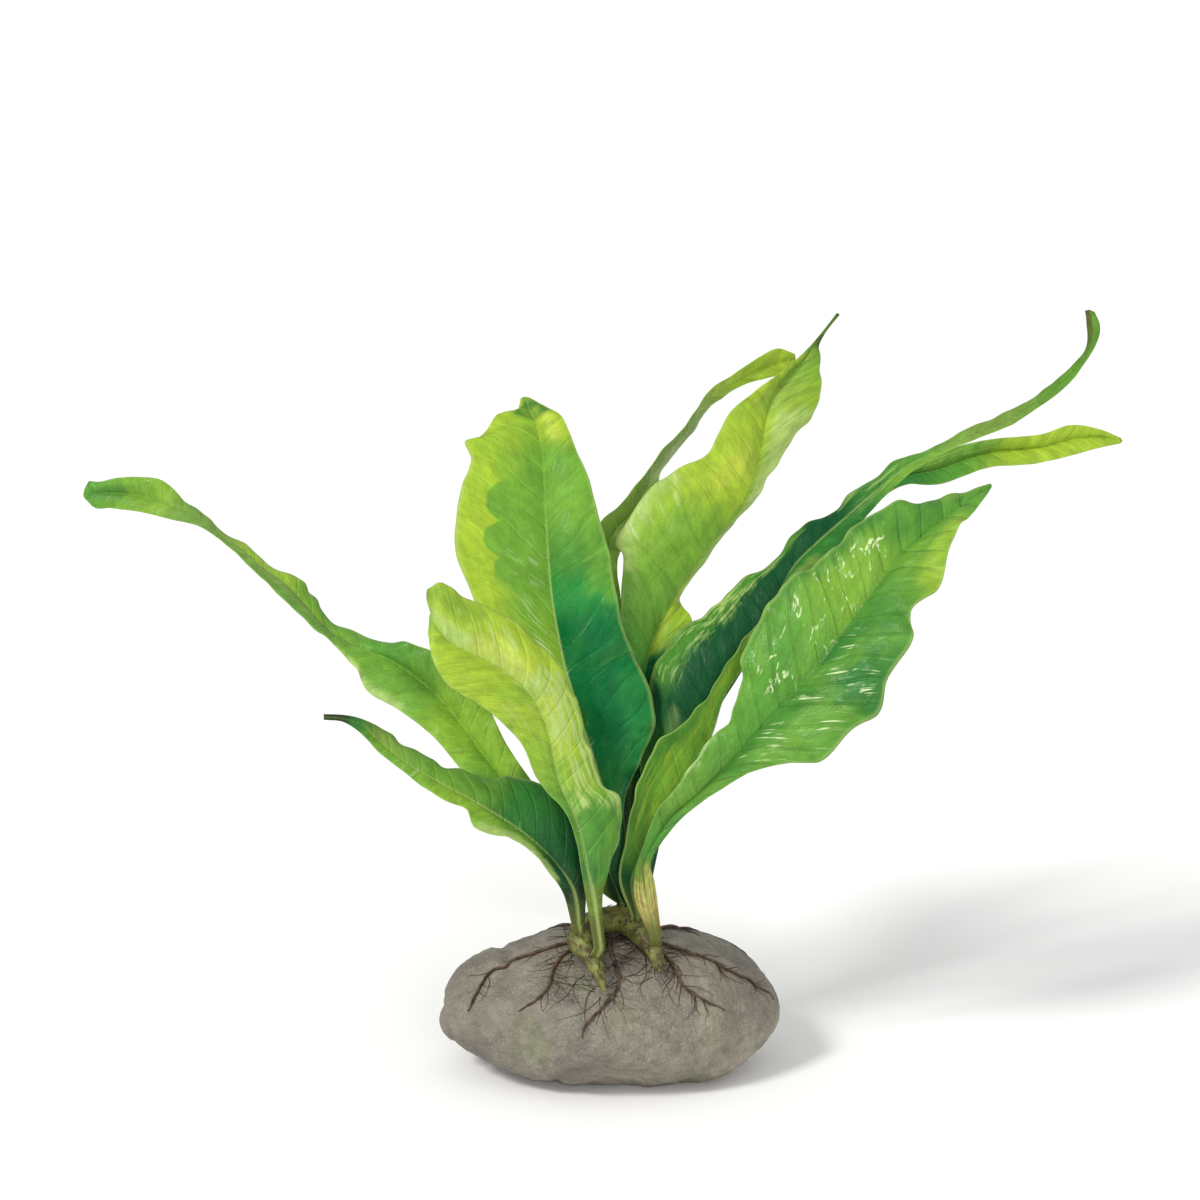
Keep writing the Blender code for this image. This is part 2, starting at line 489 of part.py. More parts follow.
def blade_grid(rails, puff):
    """Grid of points across the leaf, each half blade arched between midrib and margin."""
    left, middle, right = rails
    along = np.gradient(middle, axis=0)
    columns = []
    for margin, turn in ((left, 1), (right, -1)):
        side = margin - middle
        width = np.linalg.norm(side, axis=1, keepdims=True)
        normal = np.cross(along, side) * turn
        normal /= np.linalg.norm(normal, axis=1, keepdims=True)
        for step in range(1, HALF_SEGMENTS + 1):
            share = step / HALF_SEGMENTS
            arch = puff * 4 * share * (1 - share)
            columns.append(middle + side * share + normal * width * arch)
    ordered = columns[:HALF_SEGMENTS][::-1] + [middle] + columns[HALF_SEGMENTS:]
    return np.stack(ordered, axis=1)


def build_leaf(name, collection, stem):
    foot, puff, rows = LEAVES[name]
    rails, places = leaf_rails(rows, foot, stem)
    grid = blade_grid(rails, puff)
    stations, columns, _ = grid.shape
    corners = grid.reshape(-1, 3).tolist()
    faces = []
    for i in range(stations - 1):
        for j in range(columns - 1):
            a = i * columns + j
            faces.append((a, a + 1, a + 1 + columns, a + columns))
    mesh = bpy.data.meshes.new(name)
    mesh.from_pydata(corners, [], faces)
    mesh.shade_smooth()
    leaf = add_object(name, mesh, collection, COLOURS[name], 0.35)
    thickness = leaf.vertex_groups.new(name="thickness")
    thin = BLADE_THICKNESS / STALK_THICKNESS
    for i, length in enumerate(places):
        stalk = max(0, 1 - length / STALK_LENGTH)
        ring = range(i * columns, (i + 1) * columns)
        thickness.add(list(ring), thin + (1 - thin) * stalk, "REPLACE")
    solid = leaf.modifiers.new("thickness", "SOLIDIFY")
    solid.thickness = STALK_THICKNESS
    solid.offset = 0
    solid.vertex_group = "thickness"
    solid.use_rim = True
    return leaf


def main():
    clear_scene()
    parts = bpy.data.collections.new(OBJECT_NAME)
    cutters = bpy.data.collections.new("joining_shapes")
    bpy.context.scene.collection.children.link(parts)
    bpy.context.scene.collection.children.link(cutters)
    stone = build_stone(parts)
    surface = stone_surface(stone)
    main_stem = rhizome_route(RHIZOME_MAIN, surface)
    side_stem = rhizome_route(RHIZOME_BRANCH, surface)
    build_rhizome(parts, cutters, main_stem, side_stem)
    stem = [main_stem, side_stem]
    build_roots(parts, surface, stem)
    for name in LEAVES:
        build_leaf(name, parts, stem)


main()
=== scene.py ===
"""Java fern on a stone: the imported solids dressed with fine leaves, bark, roots and stone.

Lengths are in metres unless a name or comment says mm. Leaf points are (across, up, back) in mm
on a picture plane through the crown that an eye sees square on from 15 degrees above.
"""
import math
import random

import bmesh
import bpy
import numpy as np
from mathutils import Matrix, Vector, noise
from mathutils.bvhtree import BVHTree


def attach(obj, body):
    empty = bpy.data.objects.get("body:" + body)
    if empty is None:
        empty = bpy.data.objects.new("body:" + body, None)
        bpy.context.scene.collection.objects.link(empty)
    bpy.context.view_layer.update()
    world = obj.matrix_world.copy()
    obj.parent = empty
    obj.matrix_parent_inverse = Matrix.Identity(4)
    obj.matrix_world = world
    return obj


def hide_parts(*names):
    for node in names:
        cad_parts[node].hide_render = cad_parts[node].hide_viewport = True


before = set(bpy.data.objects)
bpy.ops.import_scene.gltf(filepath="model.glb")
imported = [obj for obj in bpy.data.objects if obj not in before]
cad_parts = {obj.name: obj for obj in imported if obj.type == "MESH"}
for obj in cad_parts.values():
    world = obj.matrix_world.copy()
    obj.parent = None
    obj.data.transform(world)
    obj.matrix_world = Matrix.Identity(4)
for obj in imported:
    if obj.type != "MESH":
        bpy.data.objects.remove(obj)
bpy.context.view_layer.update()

MM = 0.001
GAP = 0.35 * MM
TINY = 1e-12                         # keeps a division clear of zero
SLANTED_UP = (0.3, 0.2, 1.0)         # which way the corners of a round tube are turned

# Eye that the leaf points are read from
EYE_ANGLE = math.radians(15)
EYE_DISTANCE = 1200                  # mm from the crown
EYE_ACROSS = -3                      # mm, where its axis meets the picture plane
EYE_UP = 89.1
LENS = 120                           # mm, with a sensor as wide as below
SENSOR = 36
CROWN = Vector((0, 0, 54 * MM))
ABOVE = 200 * MM

# Stone
STONE_HALF = (53 * MM, 39 * MM, 23 * MM)
STONE_CENTRE = Vector((1 * MM, 3 * MM, 18 * MM))
STONE_ROUNDNESS = 11
STONE_SIDES = [
    ((0.05, -0.06, 1.00), 0.98), ((0.80, -0.15, 0.62), 0.90), ((-0.70, -0.34, 0.66), 0.92),
    ((0.20, 0.85, 0.50), 0.88), ((-0.50, 0.70, 0.55), 0.93), ((0.22, -0.80, 0.55), 0.86),
    ((1.00, 0.25, -0.10), 0.93), ((-1.00, 0.16, 0.05), 0.97), ((0.55, 0.85, -0.10), 0.92),
    ((-0.55, 0.80, -0.15), 0.90), ((-0.62, -0.80, -0.05), 0.90), ((0.30, -1.00, -0.15), 0.94),
    ((0.85, -0.62, 0.00), 0.91), ((0.00, 0.00, -1.00), 1.00), ((0.70, 0.10, -0.75), 0.95),
    ((-0.70, -0.10, -0.75), 0.93), ((0.00, 0.75, -0.75), 0.94), ((0.00, -0.75, -0.75), 0.92),
]
STONE_DETAIL = 7                     # how often the ball that the stone is shaped from is divided
LUMP_HEIGHT = 1.3                    # mm, as are the next five
CHIP_HEIGHT = 0.45
CRACK_DEPTH = 1.1
LIFT_MOST = 0.9
LIFT_DOWN = 0.25
BARK_KNOTS = 0.28
CRACK_WIDTH = 0.10                   # below this size of its noise the stone is cracked
STONE_TOP = 28 * MM                  # above this the stone is calmer near the rhizome
CALM_CENTRE = (2 * MM, 1 * MM)
CALM_SLIMNESS = 0.62
CALM_RADIUS = 13 * MM
CALM_FADE = 14 * MM
CALM_LEAST = 0.18

# Rhizome, as (x, y, radius) in mm on top of the stone
RHIZOME_MAIN = [(-2.5, -22, 2.4), (-5, -16, 3.6), (-8.5, -9, 4.0), (-7.5, -2, 4.0), (-2.5, 4, 4.1),
                (3.5, 7, 4.1), (8, 13, 4.0), (10, 20, 3.5), (11, 26, 2.5)]
RHIZOME_BRANCH = [(1, 6, 3.4), (5.5, 2, 3.6), (9.5, -4, 3.6), (12.5, -10, 3.4), (14, -15, 2.3)]
RHIZOME_STEP = 4                     # mm, as in the solid, so that leaves stand where theirs do
RHIZOME_FINE_STEP = 0.8 * MM
RHIZOME_SIDES = 28
RHIZOME_VOXEL = 0.4 * MM
STUMP = ((0.35, 0.93), (0.65, 0.74), (0.86, 0.45), (0.96, 0.15))    # (reach, size) as shares of its radius
SCALES = 420                         # tries at a small brown scale; none is set where the rhizome faces down
SCALES_DOWN_TO = -0.35
SCALE_SUNK = 0.1 * MM
SCALE_SHAPE = ((0, 0.7), (0.3, 1.0), (0.6, 0.8), (0.85, 0.4), (1.0, 0.08))    # (along, width)

# Roots: bearing from the crown in degrees, and how far down the stone they reach
ROOT_RADIUS = 0.6 * MM
ROOTS = [(-158, 0.86), (-128, 0.74), (-94, 0.90), (-46, 0.78), (-14, 0.88), (38, 0.80), (84, 0.86),
         (138, 0.78)]
ROOT_START = 0.1
ROOT_STEPS = 60
ROOT_SWAY = math.radians(7)
ROOT_BENDS = 5.5
ROOT_SHIFT = 1.9
ROOT_TAPER = 0.45
ROOT_KNOBS = 0.16
ROOT_TIP = 0.93
HAIRS = 340                          # fine root hairs over the stone
HAIR_RADIUS = 0.13 * MM
HAIR_STEP = 0.8 * MM
HAIR_TURN = 0.14
HAIR_LOWEST = 1.5 * MM

# Leaves
BLADE_THICKNESS = 0.5 * MM
STALK_THICKNESS = 2.4 * MM
STALK_WIDTH = 3.4 * MM
FOOT_GAP = 0.5 * MM
FOOT_SUNK = 1.6 * MM
STALK_LENGTH = 26 * MM
STATION = 0.9 * MM                   # distance between the rows of points along a leaf
RIB_HEIGHT = 1.15 * MM
RIB_GROOVE = 0.12                    # mm, in front, where the midrib stands out behind
VEIN_SLANT = 0.85                    # mm that a vein runs towards the tip for each mm outwards
VEIN_WOBBLE = 0.45
LONG_WAVE = 13                       # mm, waves of the margin
SHORT_WAVE = 7.3
LUMPS = 0.6                          # mm
TIP_THICKNESS = 0.35                 # share of a blade's thickness that is left at its tip
TIP_LENGTH = 2.5                     # mm
LAYERS = ("along", "vein", "reach", "run", "span")    # values kept at a blade's points, in this order

# Each leaf has its place on the rhizome (x, y in mm), how far its halves arch, and rows from foot to tip.
# A row gives the left margin, the midrib and the right margin, each (across, up, back) in mm.
LEAVES = {
    "leaf_far_left": ((-7.5, -1.5), 0.10, [
        ((-12.5, 6, 3), (-10, 7.5, 4), (-7.5, 9, 4)),
        ((-28, 20.5, 5), (-22, 23, 7), (-17, 25.5, 6)),
        ((-44.5, 38, 7), (-37.5, 42, 10), (-30.8, 45.5, 7)),
        ((-53.5, 48.5, 9), (-47, 55, 13), (-38, 59, 9)),
        ((-64, 56.5, 11), (-57, 65, 16), (-49.5, 71.5, 11)),
        ((-73, 62, 14), (-66.5, 71.5, 18), (-60, 76, 15)),
        ((-76.3, 68.5, 14), (-74.6, 74.6, 19), (-69.4, 76.9, 22)),
        ((-84, 76.6, 16), (-84.5, 80, 22), (-84, 82.9, 27)),
        ((-93.5, 84.8, 19), (-91.8, 88, 24), (-89.2, 90.8, 29)),
        ((-100, 91.3, 22), (-97.5, 94, 26), (-93.3, 95.5, 30)),
        ((-107, 98, 24), (-105.3, 99.5, 28), (-103.5, 100.2, 33)),
        ((-112, 102.8, 27), (-110.8, 104.5, 30), (-109.3, 106, 34)),
        ((-117, 107.2, 30), (-116.3, 107.9, 32), (-115.5, 108.4, 36)),
        ((-123, 111, 33), (-121.3, 112.5, 34), (-119.5, 113, 37)),
        ((-131.5, 113.2, 35), (-129.5, 116.8, 36), (-126.5, 118, 38)),
        ((-140.5, 115.4, 37), (-139, 120, 39), (-135, 125.2, 38)),
        ((-149.5, 116.6, 40), (-149.5, 121.3, 41), (-147.5, 125.8, 39)),
        ((-155.5, 117.5, 42), (-156, 121, 42), (-153.8, 124.7, 41)),
        ((-157.7, 119.6, 43), (-158, 121, 43), (-156.3, 124.9, 42)),
    ]),
    "leaf_lower_left": ((-9.5, -9), 0.12, [
        ((-14.2, 1.6, -10), (-11.4, 2.4, -9.4), (-7.4, 3.4, -7.6)),
        ((-18.2, 7.2, -13), (-16, 9, -10), (-7.8, 14, -5)),
        ((-21, 11, -16), (-20, 13.5, -12), (-11, 25.6, -5)),
        ((-29, 17.3, -21), (-28, 20.4, -15), (-19.6, 33.6, -7)),
        ((-34.5, 18.5, -25), (-33.4, 24, -18), (-28, 36, -9)),
        ((-40.8, 21, -28), (-38.3, 27, -21), (-34, 35.4, -12)),
        ((-43.3, 26.4, -27), (-43.2, 29.8, -23), (-40.2, 36.7, -15)),
        ((-49.3, 28.8, -29), (-49.8, 33.4, -25), (-47, 38.4, -18)),
        ((-55.5, 32.7, -30), (-56.3, 37, -27), (-54, 41.4, -21)),
        ((-62, 37.6, -31), (-62.8, 41, -29), (-61.2, 45.2, -24)),
        ((-69.5, 43.6, -33), (-69.5, 46.6, -31), (-67.6, 49.9, -28)),
        ((-75.6, 49.8, -35), (-75, 51.6, -34.6), (-74.2, 53.4, -34)),
        ((-80, 52.5, -36.4), (-79.9, 53.5, -36.4), (-79.8, 54.6, -36.4)),
        ((-85.9, 53.2, -39), (-85.9, 54, -39), (-85.9, 54.9, -39)),
    ]),
    "leaf_front_left": ((-5, -16), 0.09, [
        ((-7.4, 1, -13.6), (-5.2, 1.2, -13.4), (-2.2, 1.6, -12.6)),
        ((-8.7, 8.5, -15), (-7.2, 9, -14), (-0.4, 8.2, -11)),
        ((-10.2, 17, -16), (-9, 18, -15), (2.6, 18.5, -9)),
        ((-14, 26.3, -18), (-12.2, 27, -16), (3.4, 28.8, -9)),
        ((-19, 31.5, -20), (-15, 33.3, -17), (-2, 33.5, -11)),
        ((-22.2, 36, -21), (-16.4, 39, -18), (-4.6, 39.6, -13)),
        ((-26, 45, -23), (-18, 47, -19), (-7.2, 47.4, -14)),
        ((-30.3, 50.2, -25), (-20.3, 54.8, -20), (-9.3, 56.5, -15)),
        ((-36.3, 55.6, -27), (-25, 62.2, -22), (-13, 65.5, -16)),
        ((-43, 60, -29), (-31, 67.8, -24), (-18.8, 73.8, -18)),
        ((-48.5, 63.5, -31), (-37.5, 71.8, -26), (-28.5, 82, -20)),
        ((-52, 68.4, -32), (-43.5, 74.4, -28), (-38, 87.7, -23)),
        ((-53.7, 73, -32), (-48.6, 77, -29), (-45.3, 90.6, -25)),
        ((-54.2, 78, -29), (-52.7, 82.5, -28), (-50.2, 94.5, -26)),
        ((-53.7, 80, -23), (-53.8, 85.5, -22), (-54.6, 92.4, -22)),
    ]),
    "leaf_tall_centre": ((3.2, 6.7), 0.08, [
        ((-2.6, 1.8, 4.4), (2.4, 1.4, 5.8), (4.8, 1.6, 5.2)),
        ((-3.6, 8, 2.6), (-0.4, 8.2, 4), (3.6, 8.6, 3.4)),
        ((-5.6, 16, 1.2), (-0.8, 17, 3.5), (4.4, 18.2, 2.8)),
        ((-11, 28, 0), (-1.5, 28.6, 4), (4.4, 29, 3)),
        ((-18, 41, 0), (-4.8, 41, 5), (9.2, 41, 3)),
        ((-25, 55, 1), (-9.2, 54.4, 6), (13.6, 53, 4)),
        ((-29, 62, 1), (-11.4, 61.6, 6.5), (12.4, 61.2, 5)),
        ((-32, 68.5, 2), (-13.4, 68.4, 7), (9.2, 68.4, 5.5)),
        ((-38, 82, 3), (-16, 81, 8.5), (4.4, 79.6, 6)),
        ((-42.6, 93.6, 5), (-17.8, 93, 10.5), (1.5, 93, 7.5)),
        ((-46.3, 103.2, 7), (-18.6, 104, 12.5), (-0.3, 103.6, 9.5)),
        ((-46.2, 113.6, 9), (-19.3, 114.6, 15), (-3.6, 115, 12)),
        ((-44, 124.8, 12), (-19.7, 125, 17.5), (-6.3, 125.4, 14.5)),
        ((-41.6, 131.4, 15), (-20.2, 132.6, 19.5), (-9.2, 132.2, 17)),
        ((-43.4, 137, 16), (-21.2, 138.6, 21), (-12.2, 139.4, 19)),
        ((-37.4, 139, 20), (-22.6, 143.2, 23), (-14.6, 144.4, 21)),
        ((-32.6, 145.4, 23), (-24.4, 146.4, 25), (-18.4, 147, 24)),
        ((-28.4, 145.4, 25), (-24.8, 148, 26), (-21.4, 148.2, 26)),
        ((-26.8, 149.6, 27), (-25.6, 150.1, 27), (-23.8, 149.5, 27)),
    ]),
    "leaf_upper": ((6.5, 11.2), 0.10, [
        ((4, 5, 12), (5.4, 5, 13), (7, 5, 13)),
        ((2, 24, 12), (6, 24, 14), (9.5, 24, 14)),
        ((1, 44, 13), (7.4, 43, 16), (14, 42, 16)),
        ((2, 60, 14), (9, 57, 18), (17.5, 56, 18)),
        ((3, 74, 15), (10.6, 69, 20), (20.5, 70, 19)),
        ((3.2, 85, 16), (14, 79.6, 22), (24.6, 82.6, 22)),
        ((3.4, 93, 17), (18.4, 87.8, 23), (20.8, 90, 28)),
        ((3.9, 98.6, 18), (22, 93.8, 24), (23.4, 94.4, 32)),
        ((3.7, 103, 19), (25.8, 99.6, 25), (27, 100.2, 34)),
        ((1.7, 106.2, 20), (29, 104.4, 26), (30.4, 105, 35)),
        ((6.5, 115, 22), (34, 110.8, 27), (36, 111.4, 36)),
        ((12.8, 123.2, 24), (38.6, 116.6, 29), (41, 116.8, 37)),
        ((20.5, 128.4, 26), (41.8, 122.4, 31), (45, 121.8, 38)),
        ((28.2, 132.1, 28), (43.8, 128.4, 33), (48.6, 127.8, 39)),
        ((32, 138, 30), (45.6, 136, 35), (54.5, 136.8, 39)),
        ((36, 145.5, 32), (46.8, 143.4, 37), (60, 143.7, 40)),
        ((42.6, 151.1, 34), (49, 150.4, 39), (63, 149.4, 41)),
        ((50, 156.6, 36), (53, 156.4, 40), (63.1, 156.2, 42)),
        ((56.2, 161.6, 39), (58.2, 161.8, 41), (63, 162.6, 43)),
        ((60.4, 165.7, 42), (61.4, 165.8, 42.5), (62.6, 165.2, 43)),
        ((64.2, 170.2, 44), (64.6, 170.1, 44), (65, 169.8, 44)),
        ((68, 175.2, 45), (68.6, 175, 45), (68.9, 174.6, 45)),
    ]),
    "leaf_slender_rear": ((8.6, 15.4), 0.06, [
        ((3, 5, 18), (4.6, 5, 18.6), (6.2, 5, 18.6)),
        ((-3, 32, 22), (2, 32, 24), (7, 32, 23)),
        ((-5, 62, 25), (1, 62, 28), (8, 62, 26)),
        ((-5.6, 90, 28), (-1.2, 90, 31), (3.3, 89, 29)),
        ((-2.6, 112.8, 32), (1.6, 109.8, 35), (4.6, 106, 35)),
        ((2.6, 117.3, 34), (7, 115.6, 37), (12, 114, 39)),
        ((7, 122.6, 36), (10, 121, 40), (13.6, 120, 43)),
        ((12, 129, 37), (14, 127.8, 42), (15.6, 127.6, 47)),
        ((17, 135.5, 39), (18.6, 134, 44), (19.6, 133.4, 49)),
        ((22, 140.6, 42), (23.4, 139.6, 46), (24.4, 139, 51)),
        ((26.4, 147.2, 45), (27.8, 146.4, 49), (29.2, 146.2, 53)),
        ((31, 153, 48), (32.8, 151.6, 52), (34.4, 150.4, 55)),
        ((38, 157.4, 51), (39.4, 155.6, 55), (41, 154, 56)),
        ((45, 162.2, 54), (46.2, 159, 57), (47, 155.6, 56)),
        ((50.6, 164.6, 57), (51.4, 160.6, 59), (51.6, 157, 58)),
        ((55.4, 163, 59), (55.8, 161, 60), (55.6, 159, 60)),
    ]),
    "leaf_long_right": ((7.3, -0.8), 0.10, [
        ((9.4, 3.6, 2.4), (6.4, 4, 1), (3, 5, -1)),
        ((9.6, 16, 5), (10.4, 14.8, 1), (4.8, 16.8, -3)),
        ((9, 32, 9), (18.6, 27.4, 1.5), (7.9, 32.4, -4)),
        ((10, 47, 11), (26.4, 39.4, 2), (14.6, 46.4, -4)),
        ((11.4, 60, 12), (30.8, 49.6, 2.5), (23.6, 53.6, -4)),
        ((14.2, 70.8, 13), (34.4, 60.8, 3.5), (31.2, 63, -3)),
        ((20.8, 79.6, 14), (39, 68.2, 4.5), (36.8, 72.2, -2)),
        ((29.4, 85.4, 15), (45, 78, 6), (43.4, 81, 0)),
        ((38.4, 94, 16), (50.4, 89.4, 8.5), (50.2, 87.8, 2)),
        ((50.4, 102, 17), (55.6, 99.4, 11), (57.4, 95, 5)),
        ((56.6, 110.6, 17), (62, 106, 12), (64.6, 101.6, 7)),
        ((65.6, 114.6, 18), (69.4, 112.6, 13), (72.6, 109, 9)),
        ((73.6, 122.2, 18), (78, 120, 14), (79.4, 117, 11)),
        ((80.4, 126.4, 19), (83, 124.4, 15), (83.2, 120.8, 12)),
        ((86, 131, 19), (87.6, 128.2, 15), (86.8, 124.4, 12)),
        ((95, 133.8, 19), (96, 132.8, 16), (94.6, 130.2, 13)),
        ((106, 139.9, 20), (106.6, 138, 17), (106.2, 136, 14)),
        ((117.4, 144.8, 21), (118, 142.6, 18), (118.6, 140.7, 15)),
        ((128, 150.5, 22), (127.8, 148.6, 19), (126.4, 145.4, 17)),
        ((135, 156.2, 22), (136, 154.8, 20), (137.4, 153.6, 18)),
        ((140, 160.8, 23), (141, 160, 21), (142, 159.6, 19)),
        ((143, 165.6, 24), (144.4, 165.4, 22), (145.8, 165.6, 21)),
        ((143, 172.4, 25), (145, 172.2, 23), (147, 171.6, 22)),
        ((142.4, 175.8, 25), (143.8, 176.2, 24.5), (145.4, 175.4, 24)),
    ]),
    "leaf_right_rear": ((9.7, 18.4), 0.10, [
        ((9, 4, 21), (10.6, 3.8, 21), (12.2, 3.6, 21)),
        ((17.6, 35.6, 23), (19, 35, 23), (20.4, 34.4, 23)),
        ((34.4, 66.6, 26), (36, 65.6, 26), (37.6, 64.6, 26)),
        ((53, 95.6, 28), (55, 94.4, 28), (57, 93.2, 28)),
        ((69, 113, 30), (71, 112, 31), (73, 111, 30)),
        ((78.6, 121.2, 32), (79.6, 120, 33), (80.4, 118.8, 32)),
        ((88, 128.6, 35), (88.8, 126.4, 37), (89.4, 123.8, 34)),
        ((97, 132.4, 37), (97.4, 128.4, 40), (98, 123.6, 36)),
        ((105, 135.4, 39), (106, 131.4, 42), (107.2, 126.6, 38)),
        ((113, 137.2, 41), (113.6, 133.4, 44), (114.2, 129, 40)),
        ((121, 138, 42), (122, 134.2, 45), (123, 129.5, 41)),
        ((130, 139, 44), (131, 135.2, 46), (132, 130.8, 42)),
        ((138, 141.6, 45), (139, 137.4, 47), (140, 132.9, 44)),
        ((146, 140.6, 47), (147, 138, 48), (148, 135, 46)),
        ((153.2, 137.8, 49), (153.8, 136.8, 49), (153, 136, 49)),
    ]),
    "leaf_broad_right": ((12.4, -9.6), 0.11, [
        ((7.2, 3, -8.6), (10.4, 3.8, -8.2), (13.3, 4.5, -8.6)),
        ((8.2, 10, -9.6), (10.2, 10.2, -9.2), (12.1, 10.4, -9.6)),
        ((10, 15.4, -10.4), (12.6, 15.2, -9.8), (14.9, 15.4, -10.4)),
        ((13.4, 24.6, -11), (17.6, 22.8, -10), (21.2, 23.2, -12)),
        ((21, 34.4, -11), (27, 31.2, -11), (32.6, 31.8, -15)),
        ((28.4, 45.4, -11), (36, 39.6, -12), (43, 37.6, -18)),
        ((36, 53.4, -11), (43.4, 48.4, -13), (54, 40.2, -22)),
        ((39, 63, -11), (50, 55.6, -14), (63.6, 40.8, -25)),
        ((40.2, 74, -11), (57, 63.4, -15), (72.6, 50.2, -27)),
        ((46.6, 86, -10), (64, 71.4, -15), (80.8, 55.2, -28)),
        ((53, 94.6, -9), (70.4, 80, -14), (83.6, 66, -27)),
        ((61, 99.6, -7), (76.6, 88.6, -12), (90.8, 76.8, -25)),
        ((68, 105.6, -5), (83, 97.2, -10), (90.7, 86.4, -21)),
        ((75, 112.4, -3), (89, 103.6, -7), (99, 93.2, -18)),
        ((84.4, 118, 0), (95, 108.8, -4), (101.7, 104, -13)),
        ((94, 118.5, 3), (100.6, 113.6, -1), (104.8, 110.8, -8)),
        ((103.4, 120.8, 6), (106.6, 118.2, 3), (109.4, 115.8, -2)),
        ((114, 124, 9), (114.6, 123.4, 8), (114.3, 122.4, 7)),
    ]),
}


def tone(red, green, blue):
    """A colour given in screen values from 0 to 255, as the linear colour that shaders take."""
    linear = []
    for value in (red, green, blue):
        share = value / 255
        linear.append(share / 12.92 if share < 0.04045 else ((share + 0.055) / 1.055) ** 2.4)
    return (*linear, 1)


# Leaf tints
FOOT = tone(92, 96, 42)
BROWN = tone(110, 98, 46)
HUSK = tone(190, 180, 104)
YELLOW = tone(192, 206, 74)
LIME = tone(164, 193, 56)
SPRING = tone(138, 180, 56)
GRASS = tone(114, 166, 57)
LEAF = tone(90, 152, 54)
FERN = tone(78, 140, 52)
MOSS = tone(96, 146, 52)
SHADE = tone(54, 122, 50)
GLADE = tone(44, 140, 62)
TEAL = tone(10, 106, 54)
DEEP = tone(22, 80, 44)
NIGHT = tone(24, 52, 24)
OLIVE = tone(130, 162, 72)
PALE = tone(184, 208, 122)
# GLEAM is the colour of painted highlights: glint streaks, glint curls and a glint line at a margin
GLEAM = tone(216, 234, 178)
DARK_TIP = tone(44, 52, 26)

# Blade shader. A texture is (scale, detail) or (scale, detail, roughness), and its scale is for a mm
# on the blade. The other groups are steps: (low, high), or also the values below low and above high.
STREAK = (0.42, 3.0, 0.55)
STREAK_STRETCH = 0.14                # below 1 draws a texture out along the veins
STREAK_LIGHT = (0.3, 0.72, 0.92, 1.08)
MOTTLE = (0.27, 4.0, 0.65)
MOTTLE_LIGHT = (0.3, 0.7, 0.88, 1.12)
SWIRL = (0.16, 2.0, 0.5)
BLOTCH = (0.06, 3.0, 0.6)
BLOTCH_EDGE = (0.46, 0.66)
# Textures that place the painted highlights (glint streaks and curls)
BRIGHT = (0.85, 2.0, 0.5)
GLEAM_STRETCH = 0.10
BROKEN = (0.21, 2.0, 0.6)
STREAK_BREAKS = (0.44, 0.60)
CURL_BREAKS = (0.48, 0.56)
LOOPS = (0.11, 2.0, 0.6)
LOOP_EDGE = (0.006, 0.026, 1.0, 0.0)
FLECKS = (0.75, 2.0, 0.6)
FLECK_EDGE = (0.45, 0.53)
LINE_SCALE = 1.4
LINE_STRETCH = 0.05
LINE_PITCH = 6.0
NET_SCALE = 0.42
THREAD_EDGE = (0.02, 0.10, 1.0, 0.0)
VEIN_EDGE = (0.015, 0.09, 1.0, 0.0)
VEIN_FADE = (0.75, 0.98, 1.0, 0.25)
RIB_NARROWING = (0.1, 0.85, 1.0, 0.45)
RIB_EDGE = (0.3, 0.95, 1.0, 0.0)
RIB_FADE = (0.6, 0.85, 1.0, 0.25)
MIDRIB_EDGE = (-0.04, 0.04)
MARGIN_LIGHT = (0.93, 1.0, 0.0, 0.45)
FOOT_FADE = (0.5, 12.0, 0.85, 0.0)
ZONE_EDGE_ALONG = 0.02
ZONE_EDGE_ACROSS = 0.14
ZONE_SWAY_ALONG = 0.09
ZONE_SWAY_ACROSS = 0.35
# Edge of the painted sunlit band, which is a painted shadow edge
SHADOW_EDGE_SWAY = 0.2
SHADOW_EDGE_BLUR = 0.3
SHADOW_EDGE_SHARP = 0.025
SCALLOPS = 0.262                     # radians of a scallop's wave in the painted shadow edge for each mm along the leaf
SCALLOP_DEPTH = 0.13
GLOSS = (0.35, 3.0)
GLOSS_RANGE = (0.38, 0.62, 0.2, 0.48)
SKIN = (1.6, 4.0)
LEAF_RELIEF = 0.18 * MM
LEAF_IOR = 1.42
LEAF_SEE_THROUGH = 0.2

# Other tints
STONE_TINTS = [(0.3, tone(92, 86, 76)), (0.5, tone(128, 121, 108)), (0.72, tone(160, 152, 136))]
STONE_DULL = tone(84, 80, 72)
STONE_FLECKS = tone(196, 190, 176)
STONE_SPECKS = tone(52, 50, 46)
STONE_ALGAE = tone(84, 98, 52)
PAPER = (0.93, 0.93, 0.93, 1)
BARKS = {                            # dark tint, light tint, roughness, scale of the grain for a metre
    "green_rhizome": (tone(58, 56, 26), tone(116, 122, 52), 0.55, 240.0),
    "brown_scales": (tone(50, 34, 18), tone(104, 76, 38), 0.6, 500.0),
    "dark_root": (tone(40, 28, 18), tone(92, 66, 40), 0.62, 420.0),
    "root_hair": (tone(36, 26, 18), tone(84, 62, 38), 0.7, 600.0),
}

# Lamps: direction towards them, width in degrees, strength, colour
LAMPS = {
    "key": ((-0.67, -0.5, 0.8), 14, 1.9, (1.0, 0.99, 0.96)),
    "fill": ((0.2, -0.93, 0.3), 18, 0.75, (1.0, 1.0, 1.0)),
}
SKY_POWER = 0.7
